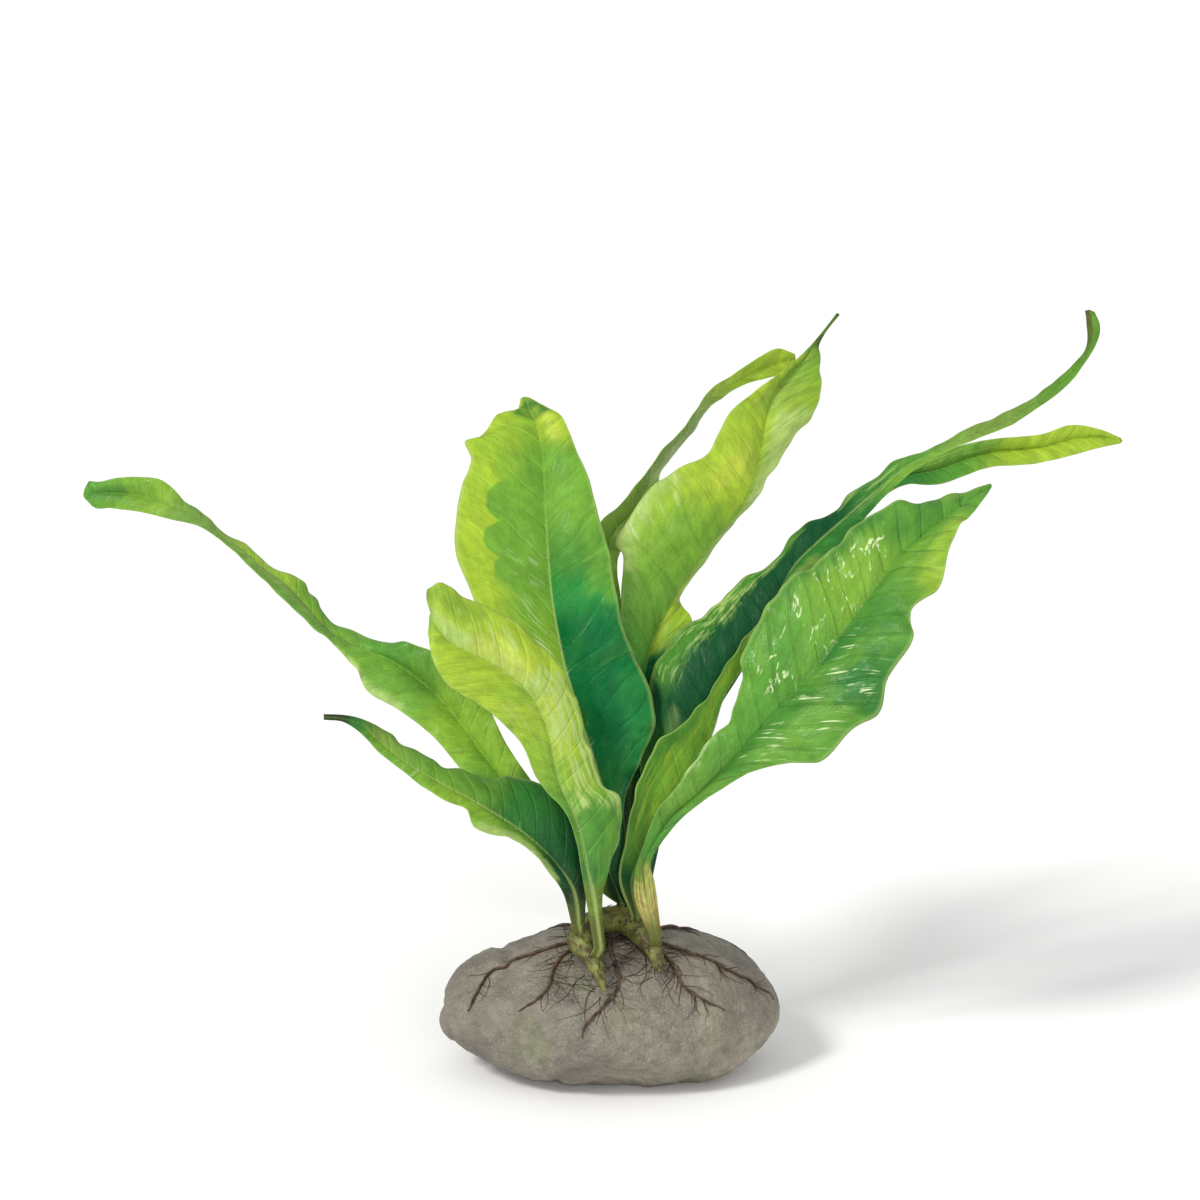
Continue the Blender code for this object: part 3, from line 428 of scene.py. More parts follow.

# Leaf looks. A side is a list of (share of the length from the foot, colour).
# Zones, lines, glint streaks and glint curls lie in a part of the blade: (from, to) of the length, then
# (from, to) across, with -1 the left margin, 0 the midrib and 1 the right margin. Then come, for a zone, its
# colour, strength and, where it isn't the usual one, edge; for a line its strength, colour, lower
# limit and, where it isn't the usual one, scale; for a glint streak, a painted highlight, its strength
# and lower limit; and for a glint curl, a painted highlight, its strength. A band is painted sunlight
# with a painted shadow edge: it has the place of that edge across, its start and end, and its colour.
PLAIN_LOOK = {"rib": PALE, "foot": FOOT, "crumple": 0, "zones": [], "lines": [], "glint_streaks": [],
              "glint_curls": [], "band": None}
# Where a side or a foot starts from NIGHT or DEEP, that dark near the foot is painted shade of the crowded
# crown
LOOKS = {
    "leaf_far_left": {
        "left": [(0, DEEP), (0.12, SHADE), (0.2, GRASS), (0.28, SPRING), (0.35, GRASS), (0.5, GRASS),
                 (0.62, OLIVE), (0.8, OLIVE), (0.9, SPRING), (1, LEAF)],
        "right": [(0, DEEP), (0.12, SHADE), (0.2, SPRING), (0.28, SPRING), (0.45, LEAF), (0.52, GRASS),
                  (0.66, SPRING), (0.8, OLIVE), (0.9, SPRING), (1, LEAF)],
        "zones": [((0.22, 0.34), (-1, 0.3), SPRING, 0.7), ((0.35, 0.41), (-0.5, 0.8), MOSS, 0.6),
                  ((0.36, 0.52), (-1.2, -0.84), PALE, 0.8), ((0.5, 0.58), (-0.2, 0.4), SPRING, 0.6),
                  ((0.6, 0.8), (-1.2, -0.6), MOSS, 0.7), ((0.62, 0.72), (0.2, 0.7), LIME, 0.7),
                  ((0.93, 0.99), (-0.4, 0.5), SHADE, 0.5)],
        "patch": SHADE, "patches": 0.3, "veins": 0.12, "ribs": 0.08,
        "shine": 0.3, "quilt": 0.16, "ruffle": 0.5, "pitch": 6.5, "columns": 15},
    "leaf_lower_left": {
        "left": [(0, NIGHT), (0.1, DEEP), (0.25, GRASS), (0.5, SPRING), (0.8, GRASS), (0.9, SHADE),
                 (0.93, DARK_TIP), (1, DARK_TIP)],
        # Painted shade: the right (upper) half's DEEP and SHADE up to 0.3
        "right": [(0, NIGHT), (0.12, DEEP), (0.3, SHADE), (0.42, MOSS), (0.6, GRASS), (0.8, OLIVE),
                  (0.9, SHADE), (0.93, DARK_TIP), (1, DARK_TIP)],
        "zones": [((0.04, 0.4), (-1.2, -0.7), PALE, 0.7), ((0.45, 0.85), (-0.5, 0.1), SPRING, 0.5),
                  ((0.5, 0.85), (0.7, 1.2), MOSS, 0.6)],
        "glint_streaks": [((0.2, 0.8), (-0.9, 0.1), 0.3, 0.58)],
        "patch": SHADE, "patches": 0.3, "veins": 0.14, "ribs": 0.5,
        "shine": 0.25, "quilt": 0.18, "ruffle": 0.5, "pitch": 6.0, "columns": 15},
    "leaf_front_left": {
        "left": [(0, FOOT), (0.05, SHADE), (0.12, FERN), (0.24, LEAF), (0.38, SPRING), (0.56, LIME),
                 (0.85, LIME), (1, SPRING)],
        "right": [(0, FOOT), (0.05, SHADE), (0.12, FERN), (0.2, LEAF), (0.36, SPRING), (0.6, LIME),
                  (0.85, LIME), (1, LIME)],
        "zones": [((0.58, 0.94), (0.0, 0.3), PALE, 0.8), ((0.4, 0.8), (0.0, 0.6), YELLOW, 0.6),
                  ((0.82, 1.1), (0.5, 0.95), MOSS, 0.45), ((0.14, 0.26), (0.3, 1.0), SHADE, 0.3),
                  ((0.3, 0.46), (0.1, 0.7), LIME, 0.5), ((0.7, 1.1), (-1.2, -0.5), LIME, 0.6)],
        "glint_streaks": [((0.56, 0.9), (0.1, 0.8), 0.3, 0.52)],
        "lines": [((0.24, 0.64), (0.1, 1.1), 0.9, PALE, 0.43),
                  ((0.24, 0.6), (-0.9, -0.2), 0.3, PALE, 0.5), ((0.02, 0.2), (-0.8, 0.8), 0.35, OLIVE, 0.5)],
        "patch": GRASS, "patches": 0.45, "veins": 0.14, "ribs": 0.5, "crumple": 0.7,
        "shine": 0.3, "quilt": 0.18, "ruffle": 0.5, "pitch": 7.0, "columns": 18},
    "leaf_tall_centre": {
        "left": [(0, NIGHT), (0.08, DEEP), (0.16, GRASS), (0.24, SPRING), (0.45, SPRING), (0.62, GRASS),
                 (0.84, GRASS), (0.92, SPRING), (1, LIME)],
        # Painted shade: the right half's TEAL from 0.2 to 0.52, cast by the neighbouring leaves
        "right": [(0, NIGHT), (0.1, DEEP), (0.2, TEAL), (0.52, TEAL), (0.6, GLADE), (0.66, FERN),
                  (0.76, GRASS), (0.86, GRASS), (0.93, LIME), (1, LIME)],
        "zones": [((0.58, 0.7), (0.62, 1.2), GRASS, 0.6), ((0.24, 0.44), (0.6, 1.2), GLADE, 0.5),
                  # Painted shade: the SHADE zone from 0.95 to 0.985 darkens the fold near the tip
                  ((0.9, 0.96), (0.3, 0.8), YELLOW, 0.6), ((0.95, 0.985), (-0.5, 0.9), SHADE, 0.9),
                  ((0.82, 0.95), (-0.9, -0.3), LIME, 0.4)],
        "glint_streaks": [((0.22, 0.5), (-0.7, -0.02), 0.6, 0.48), ((0.5, 0.7), (-0.5, -0.05), 0.3, 0.52)],
        "patch": LEAF, "patches": 0.2, "veins": 0.12, "ribs": 0.42, "crumple": 0.3,
        "shine": 0.16, "quilt": 0.18, "ruffle": 0.4, "pitch": 9.0, "columns": 27,
        # The band is painted sunlight on the left margin, bounded by a painted cast-shadow edge
        "band": (-0.56, 0.6, 0.83, LIME), "foot": NIGHT},
    "leaf_upper": {
        "left": [(0, NIGHT), (0.2, DEEP), (0.31, TEAL), (0.35, LEAF), (0.45, GRASS), (0.56, SPRING),
                 (0.66, LIME), (0.9, LIME), (0.93, MOSS), (0.95, DARK_TIP), (1, DARK_TIP)],
        "right": [(0, NIGHT), (0.2, DEEP), (0.345, TEAL), (0.37, SPRING), (0.42, LIME), (0.6, SPRING),
                  (0.8, LIME), (0.9, SPRING), (0.95, DARK_TIP), (1, DARK_TIP)],
        # The PALE zone on the left rim from 0.48 to 0.65 is a painted highlight
        "zones": [((0.67, 0.72), (-0.6, -0.1), YELLOW, 0.7), ((0.48, 0.65), (-1.2, -0.86), PALE, 0.9),
                  ((0.62, 0.8), (0.2, 1.2), PALE, 0.75), ((0.8, 0.93), (-0.6, 0.6), OLIVE, 0.5),
                  ((0.35, 0.45), (0.02, 0.3), YELLOW, 0.7), ((0.45, 0.62), (-0.6, 0.0), GRASS, 0.5)],
        "glint_streaks": [((0.5, 0.66), (-1.0, -0.6), 0.4, 0.56)],
        "patch": GRASS, "patches": 0.35, "veins": -0.05, "rib": OLIVE, "ribs": 0.35, "crumple": 0.3,
        "shine": 0.25, "quilt": 0.14, "ruffle": 0.4, "pitch": 8.5, "columns": 24},
    "leaf_slender_rear": {
        "left": [(0, NIGHT), (0.2, DEEP), (0.36, SHADE), (0.44, GRASS), (0.6, OLIVE), (0.78, OLIVE),
                 (0.9, LIME), (1, LIME)],
        "right": [(0, NIGHT), (0.2, DEEP), (0.36, SHADE), (0.44, SPRING), (0.6, PALE), (0.78, OLIVE),
                  (0.9, LIME), (1, LIME)],
        "patch": GRASS, "patches": 0.25, "veins": 0.12, "ribs": 0.4,
        "shine": 0.3, "quilt": 0.15, "ruffle": 0.3, "pitch": 6.0, "columns": 12},
    "leaf_long_right": {
        # Painted shade: the far (left) half's DEEP from 0.22 to 0.54 inside the trough
        "left": [(0, NIGHT), (0.05, MOSS), (0.12, MOSS), (0.16, SHADE), (0.22, DEEP), (0.54, DEEP),
                 (0.6, SHADE), (0.66, LEAF), (0.78, OLIVE), (0.9, MOSS), (1, FOOT)],
        "right": [(0, DEEP), (0.05, MOSS), (0.18, LEAF), (0.33, GRASS), (0.4, SHADE), (0.58, SHADE),
                  (0.66, GRASS), (0.78, OLIVE), (0.9, MOSS), (1, MOSS)],
        # The small PALE zone at 0.2 is a painted patch of sunlight
        "zones": [((0.24, 0.5), (-1.2, -0.68), LEAF, 0.75), ((0.2, 0.215), (-0.6, -0.4), PALE, 0.4),
                  ((0.33, 0.5), (0.5, 1.2), OLIVE, 0.7), ((0.1, 0.32), (0.15, 0.6), SPRING, 0.5)],
        # The PALE lines on the far half's edge from 0.26 to 0.5 are painted highlights
        "lines": [((0.26, 0.5), (-1.1, -0.64), 0.85, PALE, 0.47, 2.3),
                  ((0.05, 0.32), (0.0, 1.0), 0.55, LIME, 0.5),
                  ((0.02, 0.14), (-1.1, 0.0), 0.4, OLIVE, 0.5), ((0.57, 0.7), (-1.1, 0.6), 0.7, PALE, 0.5)],
        "patch": DEEP, "patches": 0.2, "veins": 0.06, "ribs": 0.35,
        "shine": 0.1, "quilt": 0.12, "ruffle": 0.4, "pitch": 7.0, "columns": 18},
    "leaf_right_rear": {
        # Painted shade: the SHADE stretch from 0.5 on both sides, inside the blade's trough
        "left": [(0, DEEP), (0.5, SHADE), (0.66, LEAF), (0.78, GRASS), (0.86, LIME), (1, LIME)],
        "right": [(0, DEEP), (0.5, SHADE), (0.68, SHADE), (0.76, LEAF), (0.84, LIME), (1, LIME)],
        "zones": [((0.6, 0.74), (-1.2, -0.5), SPRING, 0.5)],
        "lines": [((0.6, 0.8), (-1.0, 0.2), 0.5, PALE, 0.5)],
        "patch": SHADE, "patches": 0.3, "veins": 0.12, "ribs": 0.3,
        "shine": 0.25, "quilt": 0.14, "ruffle": 0.3, "pitch": 6.0, "columns": 12},
    "leaf_broad_right": {
        "left": [(0, HUSK), (0.02, MOSS), (0.05, FERN), (0.2, MOSS), (0.3, LEAF), (0.5, LEAF),
                 (0.62, GRASS), (0.74, GRASS), (0.82, LEAF), (1, LEAF)],
        "right": [(0, HUSK), (0.02, HUSK), (0.045, FERN), (0.2, FERN), (0.4, FERN), (0.55, SHADE),
                  (0.66, FERN), (0.8, GRASS), (1, LEAF)],
        "zones": [((0.6, 0.74), (-0.7, 0.02), SPRING, 0.45), ((0.78, 0.95), (-1.2, -0.25), SHADE, 0.4),
                  # The SHADE strip along the left margin from 0.56 to 0.8 is a painted shadow cast by the
                  # long right leaf
                  ((0.56, 0.8), (-1.2, -0.8), SHADE, 0.6), ((0.75, 0.9), (0.5, 1.2), LIME, 0.6),
                  # The GLEAM zone on the left margin from 0.21 to 0.29 is a painted highlight line
                  ((0.21, 0.29), (-1.3, -0.93), GLEAM, 0.9, 0.05),
                  ((0.9, 1.1), (-1.2, -0.5), OLIVE, 0.7), ((0.3, 0.5), (0.3, 1.0), GRASS, 0.5)],
        "lines": [((-0.1, 0.05), (-1.1, 0.9), 0.8, BROWN, 0.46),
                  ((0.05, 0.28), (-0.9, 0.6), 0.35, OLIVE, 0.5)],
        "glint_streaks": [((0.3, 0.6), (0.1, 0.9), 0.95, 0.585), ((0.74, 0.88), (0.1, 0.8), 0.35, 0.58)],
        "glint_curls": [((0.44, 0.78), (-0.85, -0.04), 0.95)],
        "patch": GRASS, "patches": 0.5, "veins": -0.08, "rib": SHADE, "ribs": 0.35, "crumple": 0.25,
        "shine": 0.28, "quilt": 0.17, "ruffle": 0.6, "pitch": 8.5, "columns": 27},
}


# Shared curve and mesh helpers

def place(across, up, back):
    """World point of a leaf point: along the line of sight from where the eye sees it."""
    spread = 1 + back / EYE_DISTANCE
    right = EYE_ACROSS + (across - EYE_ACROSS) * spread
    rise = EYE_UP + (up - EYE_UP) * spread
    y = rise * math.sin(EYE_ANGLE) + back * math.cos(EYE_ANGLE)
    z = rise * math.cos(EYE_ANGLE) - back * math.sin(EYE_ANGLE)
    return CROWN + Vector((right, y, z)) * MM


def row_knots(points):
    """Running length along a list of points, which spaces a smooth curve through them."""
    steps = np.linalg.norm(np.diff(points, axis=0), axis=1)
    return np.concatenate([[0], np.cumsum(steps)])


def between(knots, longest):
    """Places on the curve: every knot, with more of them where knots lie further apart."""
    spans = []
    for start, end in zip(knots[:-1], knots[1:]):
        spans.append(np.linspace(start, end, math.ceil((end - start) / longest), endpoint=False))
    return np.concatenate(spans + [knots[-1:]])


def sample_rail(points, knots, places):
    """Smooth curve through points at their knots, read at other places on it."""
    slopes = np.empty_like(points)
    gaps = np.diff(knots)
    chords = np.diff(points, axis=0) / gaps[:, None]
    share = (gaps[1:] / (gaps[:-1] + gaps[1:]))[:, None]
    slopes[1:-1] = chords[:-1] * share + chords[1:] * (1 - share)
    slopes[0] = chords[0]
    slopes[-1] = chords[-1]
    span = np.clip(np.searchsorted(knots, places, side="right") - 1, 0, len(gaps) - 1)
    t = ((places - knots[span]) / gaps[span])[:, None]
    width = gaps[span][:, None]
    start = points[span] * (1 + 2 * t) * (1 - t) ** 2 + slopes[span] * width * t * (1 - t) ** 2
    end = points[span + 1] * t ** 2 * (3 - 2 * t) + slopes[span + 1] * width * t ** 2 * (t - 1)
    return start + end


def smooth_route(points, longest, flat=False):
    """Points on a smooth curve through given ones; flat measures along it in plan only."""
    rail = np.array(points, dtype=float)
    knots = row_knots(rail[:, :2] if flat else rail)
    return sample_rail(rail, knots, between(knots, longest))


def ease(value, low, high):
    """0 below low, 1 above high, and a smooth step between."""
    share = np.clip((value - low) / (high - low), 0, 1)
    return share * share * (3 - 2 * share)


def unit(vectors):
    """Vectors along the last axis, each scaled to length one."""
    return vectors / (np.linalg.norm(vectors, axis=-1, keepdims=True) + TINY)


def noise_grid(x, y, z):
    """Smooth noise at every point of a grid."""
    values = [noise.noise(Vector((along, across, z))) for along, across in zip(x.ravel(), y.ravel())]
    return np.reshape(values, x.shape)


def add_piece(name, mesh, material):
    """Puts a mesh in the scene as a piece of the part's one body."""
    mesh.shade_smooth()
    mesh.materials.append(material)
    piece = bpy.data.objects.new(name, mesh)
    bpy.context.scene.collection.objects.link(piece)
    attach(piece, "root")
    return piece


def add_mesh(name, corners, faces, material):
    mesh = bpy.data.meshes.new(name)
    mesh.from_pydata(np.asarray(corners).tolist(), [], faces)
    mesh.validate()
    return add_piece(name, mesh, material)


def add_values(piece, name, values):
    """Stores one number for each point, for the shader to read."""
    layer = piece.data.attributes.new(name, "FLOAT", "POINT")
    layer.data.foreach_set("value", np.asarray(values, dtype=np.float32).ravel())


class MeshPile:
    """Many small closed forms gathered in one mesh."""

    def __init__(self):
        self.corners = []
        self.faces = []

    def tube(self, points, radii, sides, flat=1.0, up=SLANTED_UP):
        """Closed tube through points; flat squeezes it in the direction up."""
        points = np.asarray(points, dtype=float)
        out = np.array(up, dtype=float)
        first = len(self.corners)
        turns = np.linspace(0, 2 * math.pi, sides, endpoint=False)
        for point, direction, radius in zip(points, unit(np.gradient(points, axis=0)), radii):
            out = unit(out - direction * out.dot(direction))
            beside = np.cross(direction, out)
            for turn in turns:
                offset = beside * math.cos(turn) + out * (math.sin(turn) * flat)
                self.corners.append(point + offset * radius)
        last = first + (len(points) - 1) * sides
        for ring in range(first, last, sides):
            for side in range(sides):
                a = ring + side
                b = ring + (side + 1) % sides
                self.faces.append((a, b, b + sides, a + sides))
        self.faces.append(list(range(first, first + sides))[::-1])
        self.faces.append(list(range(last, last + sides)))


# Materials

class Nodes:
    """A material whose node tree is built by short calls."""

    def __init__(self, name):
        self.material = bpy.data.materials.new(name)
        self.material.use_nodes = True
        self.tree = self.material.node_tree
        self.shader = self.tree.nodes["Principled BSDF"]
        self.output = self.tree.nodes["Material Output"]

    def put(self, socket, value):
        if isinstance(value, bpy.types.NodeSocket):
            self.tree.links.new(value, socket)
        else:
            socket.default_value = value

    def attribute(self, name):
        node = self.tree.nodes.new("ShaderNodeAttribute")
        node.attribute_name = name
        return node.outputs["Fac"]

    def maths(self, operation, first, second=0.0):
        node = self.tree.nodes.new("ShaderNodeMath")
        node.operation = operation
        self.put(node.inputs[0], first)
        self.put(node.inputs[1], second)
        return node.outputs[0]

    def times(self, first, *others):
        for other in others:
            first = self.maths("MULTIPLY", first, other)
        return first

    def plus(self, first, *others):
        for other in others:
            first = self.maths("ADD", first, other)
        return first

    def size(self, value):
        """The value without its sign."""
        return self.maths("ABSOLUTE", value)

    def sway(self, value, texture, amount):
        """The value moved to and fro by a texture, over a range of up to the amount."""
        return self.plus(value, self.times(self.maths("SUBTRACT", texture, 0.5), amount))

    def step(self, value, low, high, start=0.0, end=1.0):
        """Smooth step of value from start to end as it goes from low to high."""
        node = self.tree.nodes.new("ShaderNodeMapRange")
        node.interpolation_type = "SMOOTHSTEP"
        for socket, number in zip(node.inputs, (value, low, high, start, end)):
            self.put(socket, number)
        return node.outputs[0]

    def mix(self, share, first, second, blend="MIX"):
        node = self.tree.nodes.new("ShaderNodeMix")
        node.data_type = "RGBA"
        node.blend_type = blend
        for index, value in ((0, share), (6, first), (7, second)):
            self.put(node.inputs[index], value)
        return node.outputs[2]

    def ramp(self, value, stops):
        node = self.tree.nodes.new("ShaderNodeValToRGB")
        self.put(node.inputs[0], value)
        band = node.color_ramp
        band.interpolation = "EASE"
        for element, (position, colour) in zip(band.elements, (stops[0], stops[-1])):
            element.position = position
            element.color = colour
        for position, colour in stops[1:-1]:
            band.elements.new(position).color = colour
        return node.outputs[0]

    def join(self, x, y, z):
        node = self.tree.nodes.new("ShaderNodeCombineXYZ")
        for socket, number in zip(node.inputs, (x, y, z)):
            self.put(socket, number)
        return node.outputs[0]

    def where(self):
        """Place on the object, in metres."""
        return self.tree.nodes.new("ShaderNodeTexCoord").outputs["Object"]

    def noise(self, vector, scale, detail=3.0, roughness=0.55):
        node = self.tree.nodes.new("ShaderNodeTexNoise")
        self.put(node.inputs["Vector"], vector)
        for name, value in (("Scale", scale), ("Detail", detail), ("Roughness", roughness)):
            node.inputs[name].default_value = value
        return node.outputs[0]

    def cells(self, vector, scale, feature="F1"):
        node = self.tree.nodes.new("ShaderNodeTexVoronoi")
        node.feature = feature
        self.put(node.inputs["Vector"], vector)
        node.inputs["Scale"].default_value = scale
        return node.outputs["Distance"]

    def bump(self, height, distance, strength=1.0):
        node = self.tree.nodes.new("ShaderNodeBump")
        node.inputs["Strength"].default_value = strength
        node.inputs["Distance"].default_value = distance
        self.put(node.inputs["Height"], height)
        return node.outputs[0]

    def finish(self, colour, roughness, normal=None):
        """The material, with its shader's main inputs set."""
        self.put(self.shader.inputs["Base Color"], colour)
        self.put(self.shader.inputs["Roughness"], roughness)
        if normal is not None:
            self.put(self.shader.inputs["Normal"], normal)
        return self.material


class BladeNodes(Nodes):
    """The nodes of one blade. Its textures follow the veins, by values kept at the mesh's points."""

    def __init__(self, name, look, seed):
        super().__init__("blade_" + name)
        self.look = look
        self.along, self.vein, self.reach, self.run, self.span = map(self.attribute, LAYERS)
        number = seed * 7.3
        across = self.times(self.vein, look["pitch"])
        self.flow = self.join(across, self.reach, number)
        drawn_out = self.join(across, self.times(self.reach, STREAK_STRETCH), number)
        self.streak = self.noise(drawn_out, *STREAK)
        drawn_out = self.join(across, self.times(self.reach, GLEAM_STRETCH), number + 5)
        self.bright = self.noise(drawn_out, *BRIGHT)
        self.lengthwise = self.join(self.times(self.run, LINE_STRETCH), self.times(self.span, LINE_PITCH),
                                    number)
        self.swirl = self.noise(self.flow, *SWIRL)
        self.here = self.sway(self.along, self.swirl, ZONE_SWAY_ALONG)
        self.side = self.sway(self.span, self.streak, ZONE_SWAY_ACROSS)

    def fades(self, value, limits, soft):
        """Two steps whose product is one between the limits and nothing outside them."""
        low, high = limits
        rising = self.step(value, low - soft, low + soft)
        return rising, self.step(value, high - soft, high + soft, 1.0, 0.0)

    def zone(self, length, width, edge=ZONE_EDGE_ACROSS):
        """One inside a part of the blade, fading to nothing outside it."""
        lengthwise = self.fades(self.here, length, ZONE_EDGE_ALONG)
        return self.times(*lengthwise, *self.fades(self.side, width, edge))

    def ground(self):
        """Tints along the leaf, with a ramp for each side of the midrib."""
        left = self.ramp(self.along, self.look["left"])
        right = self.ramp(self.along, self.look["right"])
        return self.mix(self.step(self.span, *MIDRIB_EDGE), left, right)

    def with_sunlit_band(self, colour):
        """Painted sunlight in a band on the left side, with a scalloped inner edge that is a painted shadow
        cast by another leaf.
        """
        limit, low, high, tint = self.look["band"]
        scallop = self.size(self.maths("SINE", self.times(self.run, SCALLOPS)))
        edge = self.plus(self.sway(self.span, self.swirl, SHADOW_EDGE_SWAY), self.times(scallop, SCALLOP_DEPTH))
        start = self.step(self.along, low - 0.04, low + 0.04, SHADOW_EDGE_BLUR, SHADOW_EDGE_SHARP)
        end = self.step(self.along, high - 0.02, high + 0.05, 0.0, SHADOW_EDGE_BLUR)
        soft = self.plus(start, end)
        band = self.step(edge, self.maths("SUBTRACT", limit, soft), self.plus(limit, soft), 1.0, 0.0)
        return self.mix(band, colour, tint)

    def with_tints(self, colour):
        """Zones as listed, soft patches and the darker foot."""
        for length, width, tint, strength, *edge in self.look["zones"]:
            colour = self.mix(self.times(self.zone(length, width, *edge), strength), colour, tint)
        blotch = self.step(self.noise(self.flow, *BLOTCH), *BLOTCH_EDGE)
        colour = self.mix(self.times(blotch, self.look["patches"]), colour, self.look["patch"])
        return self.mix(self.step(self.run, *FOOT_FADE), colour, self.look["foot"])

    def with_veins(self, colour):
        """Veins and the net between them, uneven light, the midrib and the thin margin."""
        veins = self.step(self.maths("PINGPONG", self.vein, 0.5), *VEIN_EDGE)
        self.veins = self.times(veins, self.step(self.size(self.span), *VEIN_FADE))
        self.threads = self.step(self.cells(self.flow, NET_SCALE, "DISTANCE_TO_EDGE"), *THREAD_EDGE)
        lit = self.times(self.plus(self.veins, self.times(self.threads, 0.4)), self.look["veins"])
        lights = self.times(self.step(self.streak, *STREAK_LIGHT),
                            self.step(self.noise(self.flow, *MOTTLE), *MOTTLE_LIGHT), self.plus(lit, 1.0))
        colour = self.mix(1.0, colour, self.join(lights, lights, lights), "MULTIPLY")
        rib = self.step(self.maths("DIVIDE", self.reach, self.step(self.along, *RIB_NARROWING)), *RIB_EDGE)
        rib = self.times(rib, self.step(self.along, *RIB_FADE), self.look["ribs"])
        colour = self.mix(rib, colour, self.look["rib"])
        return self.mix(self.step(self.size(self.span), *MARGIN_LIGHT), colour, PALE)

    def with_strokes(self, colour):
        """Fine lines along the leaf, some of them painted highlights, then painted highlights: glint streaks
        out along the veins and broken glint curls.
        """
        for length, width, strength, tint, low, *pitch in self.look["lines"]:
            line = self.noise(self.lengthwise, pitch[0] if pitch else LINE_SCALE, 3.0, 0.6)
            line = self.times(self.step(line, low, low + 0.16), self.zone(length, width), strength)
            colour = self.mix(line, colour, tint)
        broken = self.noise(self.flow, *BROKEN)
        # Painted highlights: pale glints out along the veins, then in broken curls
        for length, width, strength, low in self.look["glint_streaks"]:
            gleam = self.times(self.step(self.bright, low, low + 0.1), self.step(broken, *STREAK_BREAKS),
                               self.zone(length, width), strength)
            colour = self.mix(gleam, colour, GLEAM)
        for length, width, strength in self.look["glint_curls"]:
            loop = self.size(self.maths("SUBTRACT", self.noise(self.flow, *LOOPS), 0.5))
            flecks = self.step(self.noise(self.flow, *FLECKS), *FLECK_EDGE)
            gleam = self.times(self.step(loop, *LOOP_EDGE), self.step(broken, *CURL_BREAKS), flecks,
                               self.zone(length, width), strength)
            colour = self.mix(gleam, colour, GLEAM)
        return colour

    def shine_through(self, colour, relief):
        """Lets some light through the blade."""
        through = self.tree.nodes.new("ShaderNodeBsdfTranslucent")
        self.put(through.inputs["Color"], self.mix(0.06, colour, YELLOW))
        self.put(through.inputs["Normal"], relief)
        blend = self.tree.nodes.new("ShaderNodeMixShader")
        shares = (LEAF_SEE_THROUGH, self.shader.outputs[0], through.outputs[0])
        for socket, value in zip(blend.inputs, shares):
            self.put(socket, value)
        self.put(self.output.inputs["Surface"], blend.outputs[0])


def leaf_material(name, look, seed):
    made = BladeNodes(name, look, seed)
    colour = made.ground()
    if look["band"]:
        colour = made.with_sunlit_band(colour)
    colour = made.with_strokes(made.with_veins(made.with_tints(colour)))
    height = made.plus(made.times(made.veins, -1.0), made.times(made.threads, -0.3),
                       made.times(made.noise(made.flow, *SKIN), 0.6))
    relief = made.bump(height, LEAF_RELIEF)
    made.shader.inputs["IOR"].default_value = LEAF_IOR
    made.shader.inputs["Specular IOR Level"].default_value = look["shine"]
    made.shine_through(colour, relief)
    return made.finish(colour, made.step(made.noise(made.flow, *GLOSS), *GLOSS_RANGE), relief)


def stone_material():
    made = Nodes("weathered_stone")
    spot = made.where()
    broad = made.noise(spot, 30.0, 4.0, 0.6)
    fine = made.noise(spot, 260.0, 4.0, 0.7)
    grain = made.cells(spot, 900.0)
    colour = made.ramp(broad, STONE_TINTS)
    for share, tint in ((made.step(fine, 0.35, 0.7, 0.0, 0.55), STONE_DULL),
                        (made.step(grain, 0.05, 0.22, 0.55, 0.0), STONE_FLECKS),
                        (made.step(made.cells(spot, 520.0), 0.04, 0.2, 0.5, 0.0), STONE_SPECKS),
                        (made.step(made.noise(spot, 55.0, 3.0, 0.6), 0.52, 0.74, 0.0, 0.42), STONE_ALGAE)):
        colour = made.mix(share, colour, tint)
    height = made.plus(made.times(fine, 0.8), made.times(grain, 0.5))
    return made.finish(colour, made.step(broad, 0.35, 0.65, 0.50, 0.82), made.bump(height, 0.8 * MM, 0.8))


def bark_material(name):
    low, high, roughness, scale = BARKS[name]
    made = Nodes(name)
    spot = made.where()
    streak = made.noise(spot, scale, 4.0, 0.65)
    gloss = made.step(streak, 0.3, 0.7, roughness + 0.12, roughness - 0.12)
    return made.finish(made.ramp(streak, [(0.32, low), (0.68, high)]), gloss,
                       made.bump(made.noise(spot, scale * 3), 0.4 * MM))


# Stone

def stone_points(directions):
    """Surface of the worn stone along unit directions, before its fine lumps."""
    total = np.zeros(len(directions))
    for side, distance in STONE_SIDES:
        facing = np.array(Vector(side).normalized())
        total += np.maximum(directions @ facing / distance, 0) ** STONE_ROUNDNESS
    reach = total ** (-1 / STONE_ROUNDNESS)
    return np.array(STONE_CENTRE) + directions * reach[:, None] * np.array(STONE_HALF)


def stone_lift(spot):
    """How far, in mm, the stone's skin stands off the plain shape at a spot."""
    lumps = noise.fractal(spot * 38, 0.9, 2.1, 5)
    chips = noise.fractal(spot * 120 + Vector((3, 7, 1)), 0.7, 2.2, 4)
    crack = max(0, CRACK_WIDTH - abs(noise.noise(spot * 26 + Vector((9, 2, 4))))) / CRACK_WIDTH
    calm = 1.0
    if spot.z > STONE_TOP:
        off = math.hypot(spot.x - CALM_CENTRE[0], (spot.y - CALM_CENTRE[1]) * CALM_SLIMNESS)
        calm = min(max((off - CALM_RADIUS) / CALM_FADE, CALM_LEAST), 1)
    return min(LUMP_HEIGHT * lumps + CHIP_HEIGHT * chips - CRACK_DEPTH * crack, LIFT_MOST) * calm - LIFT_DOWN


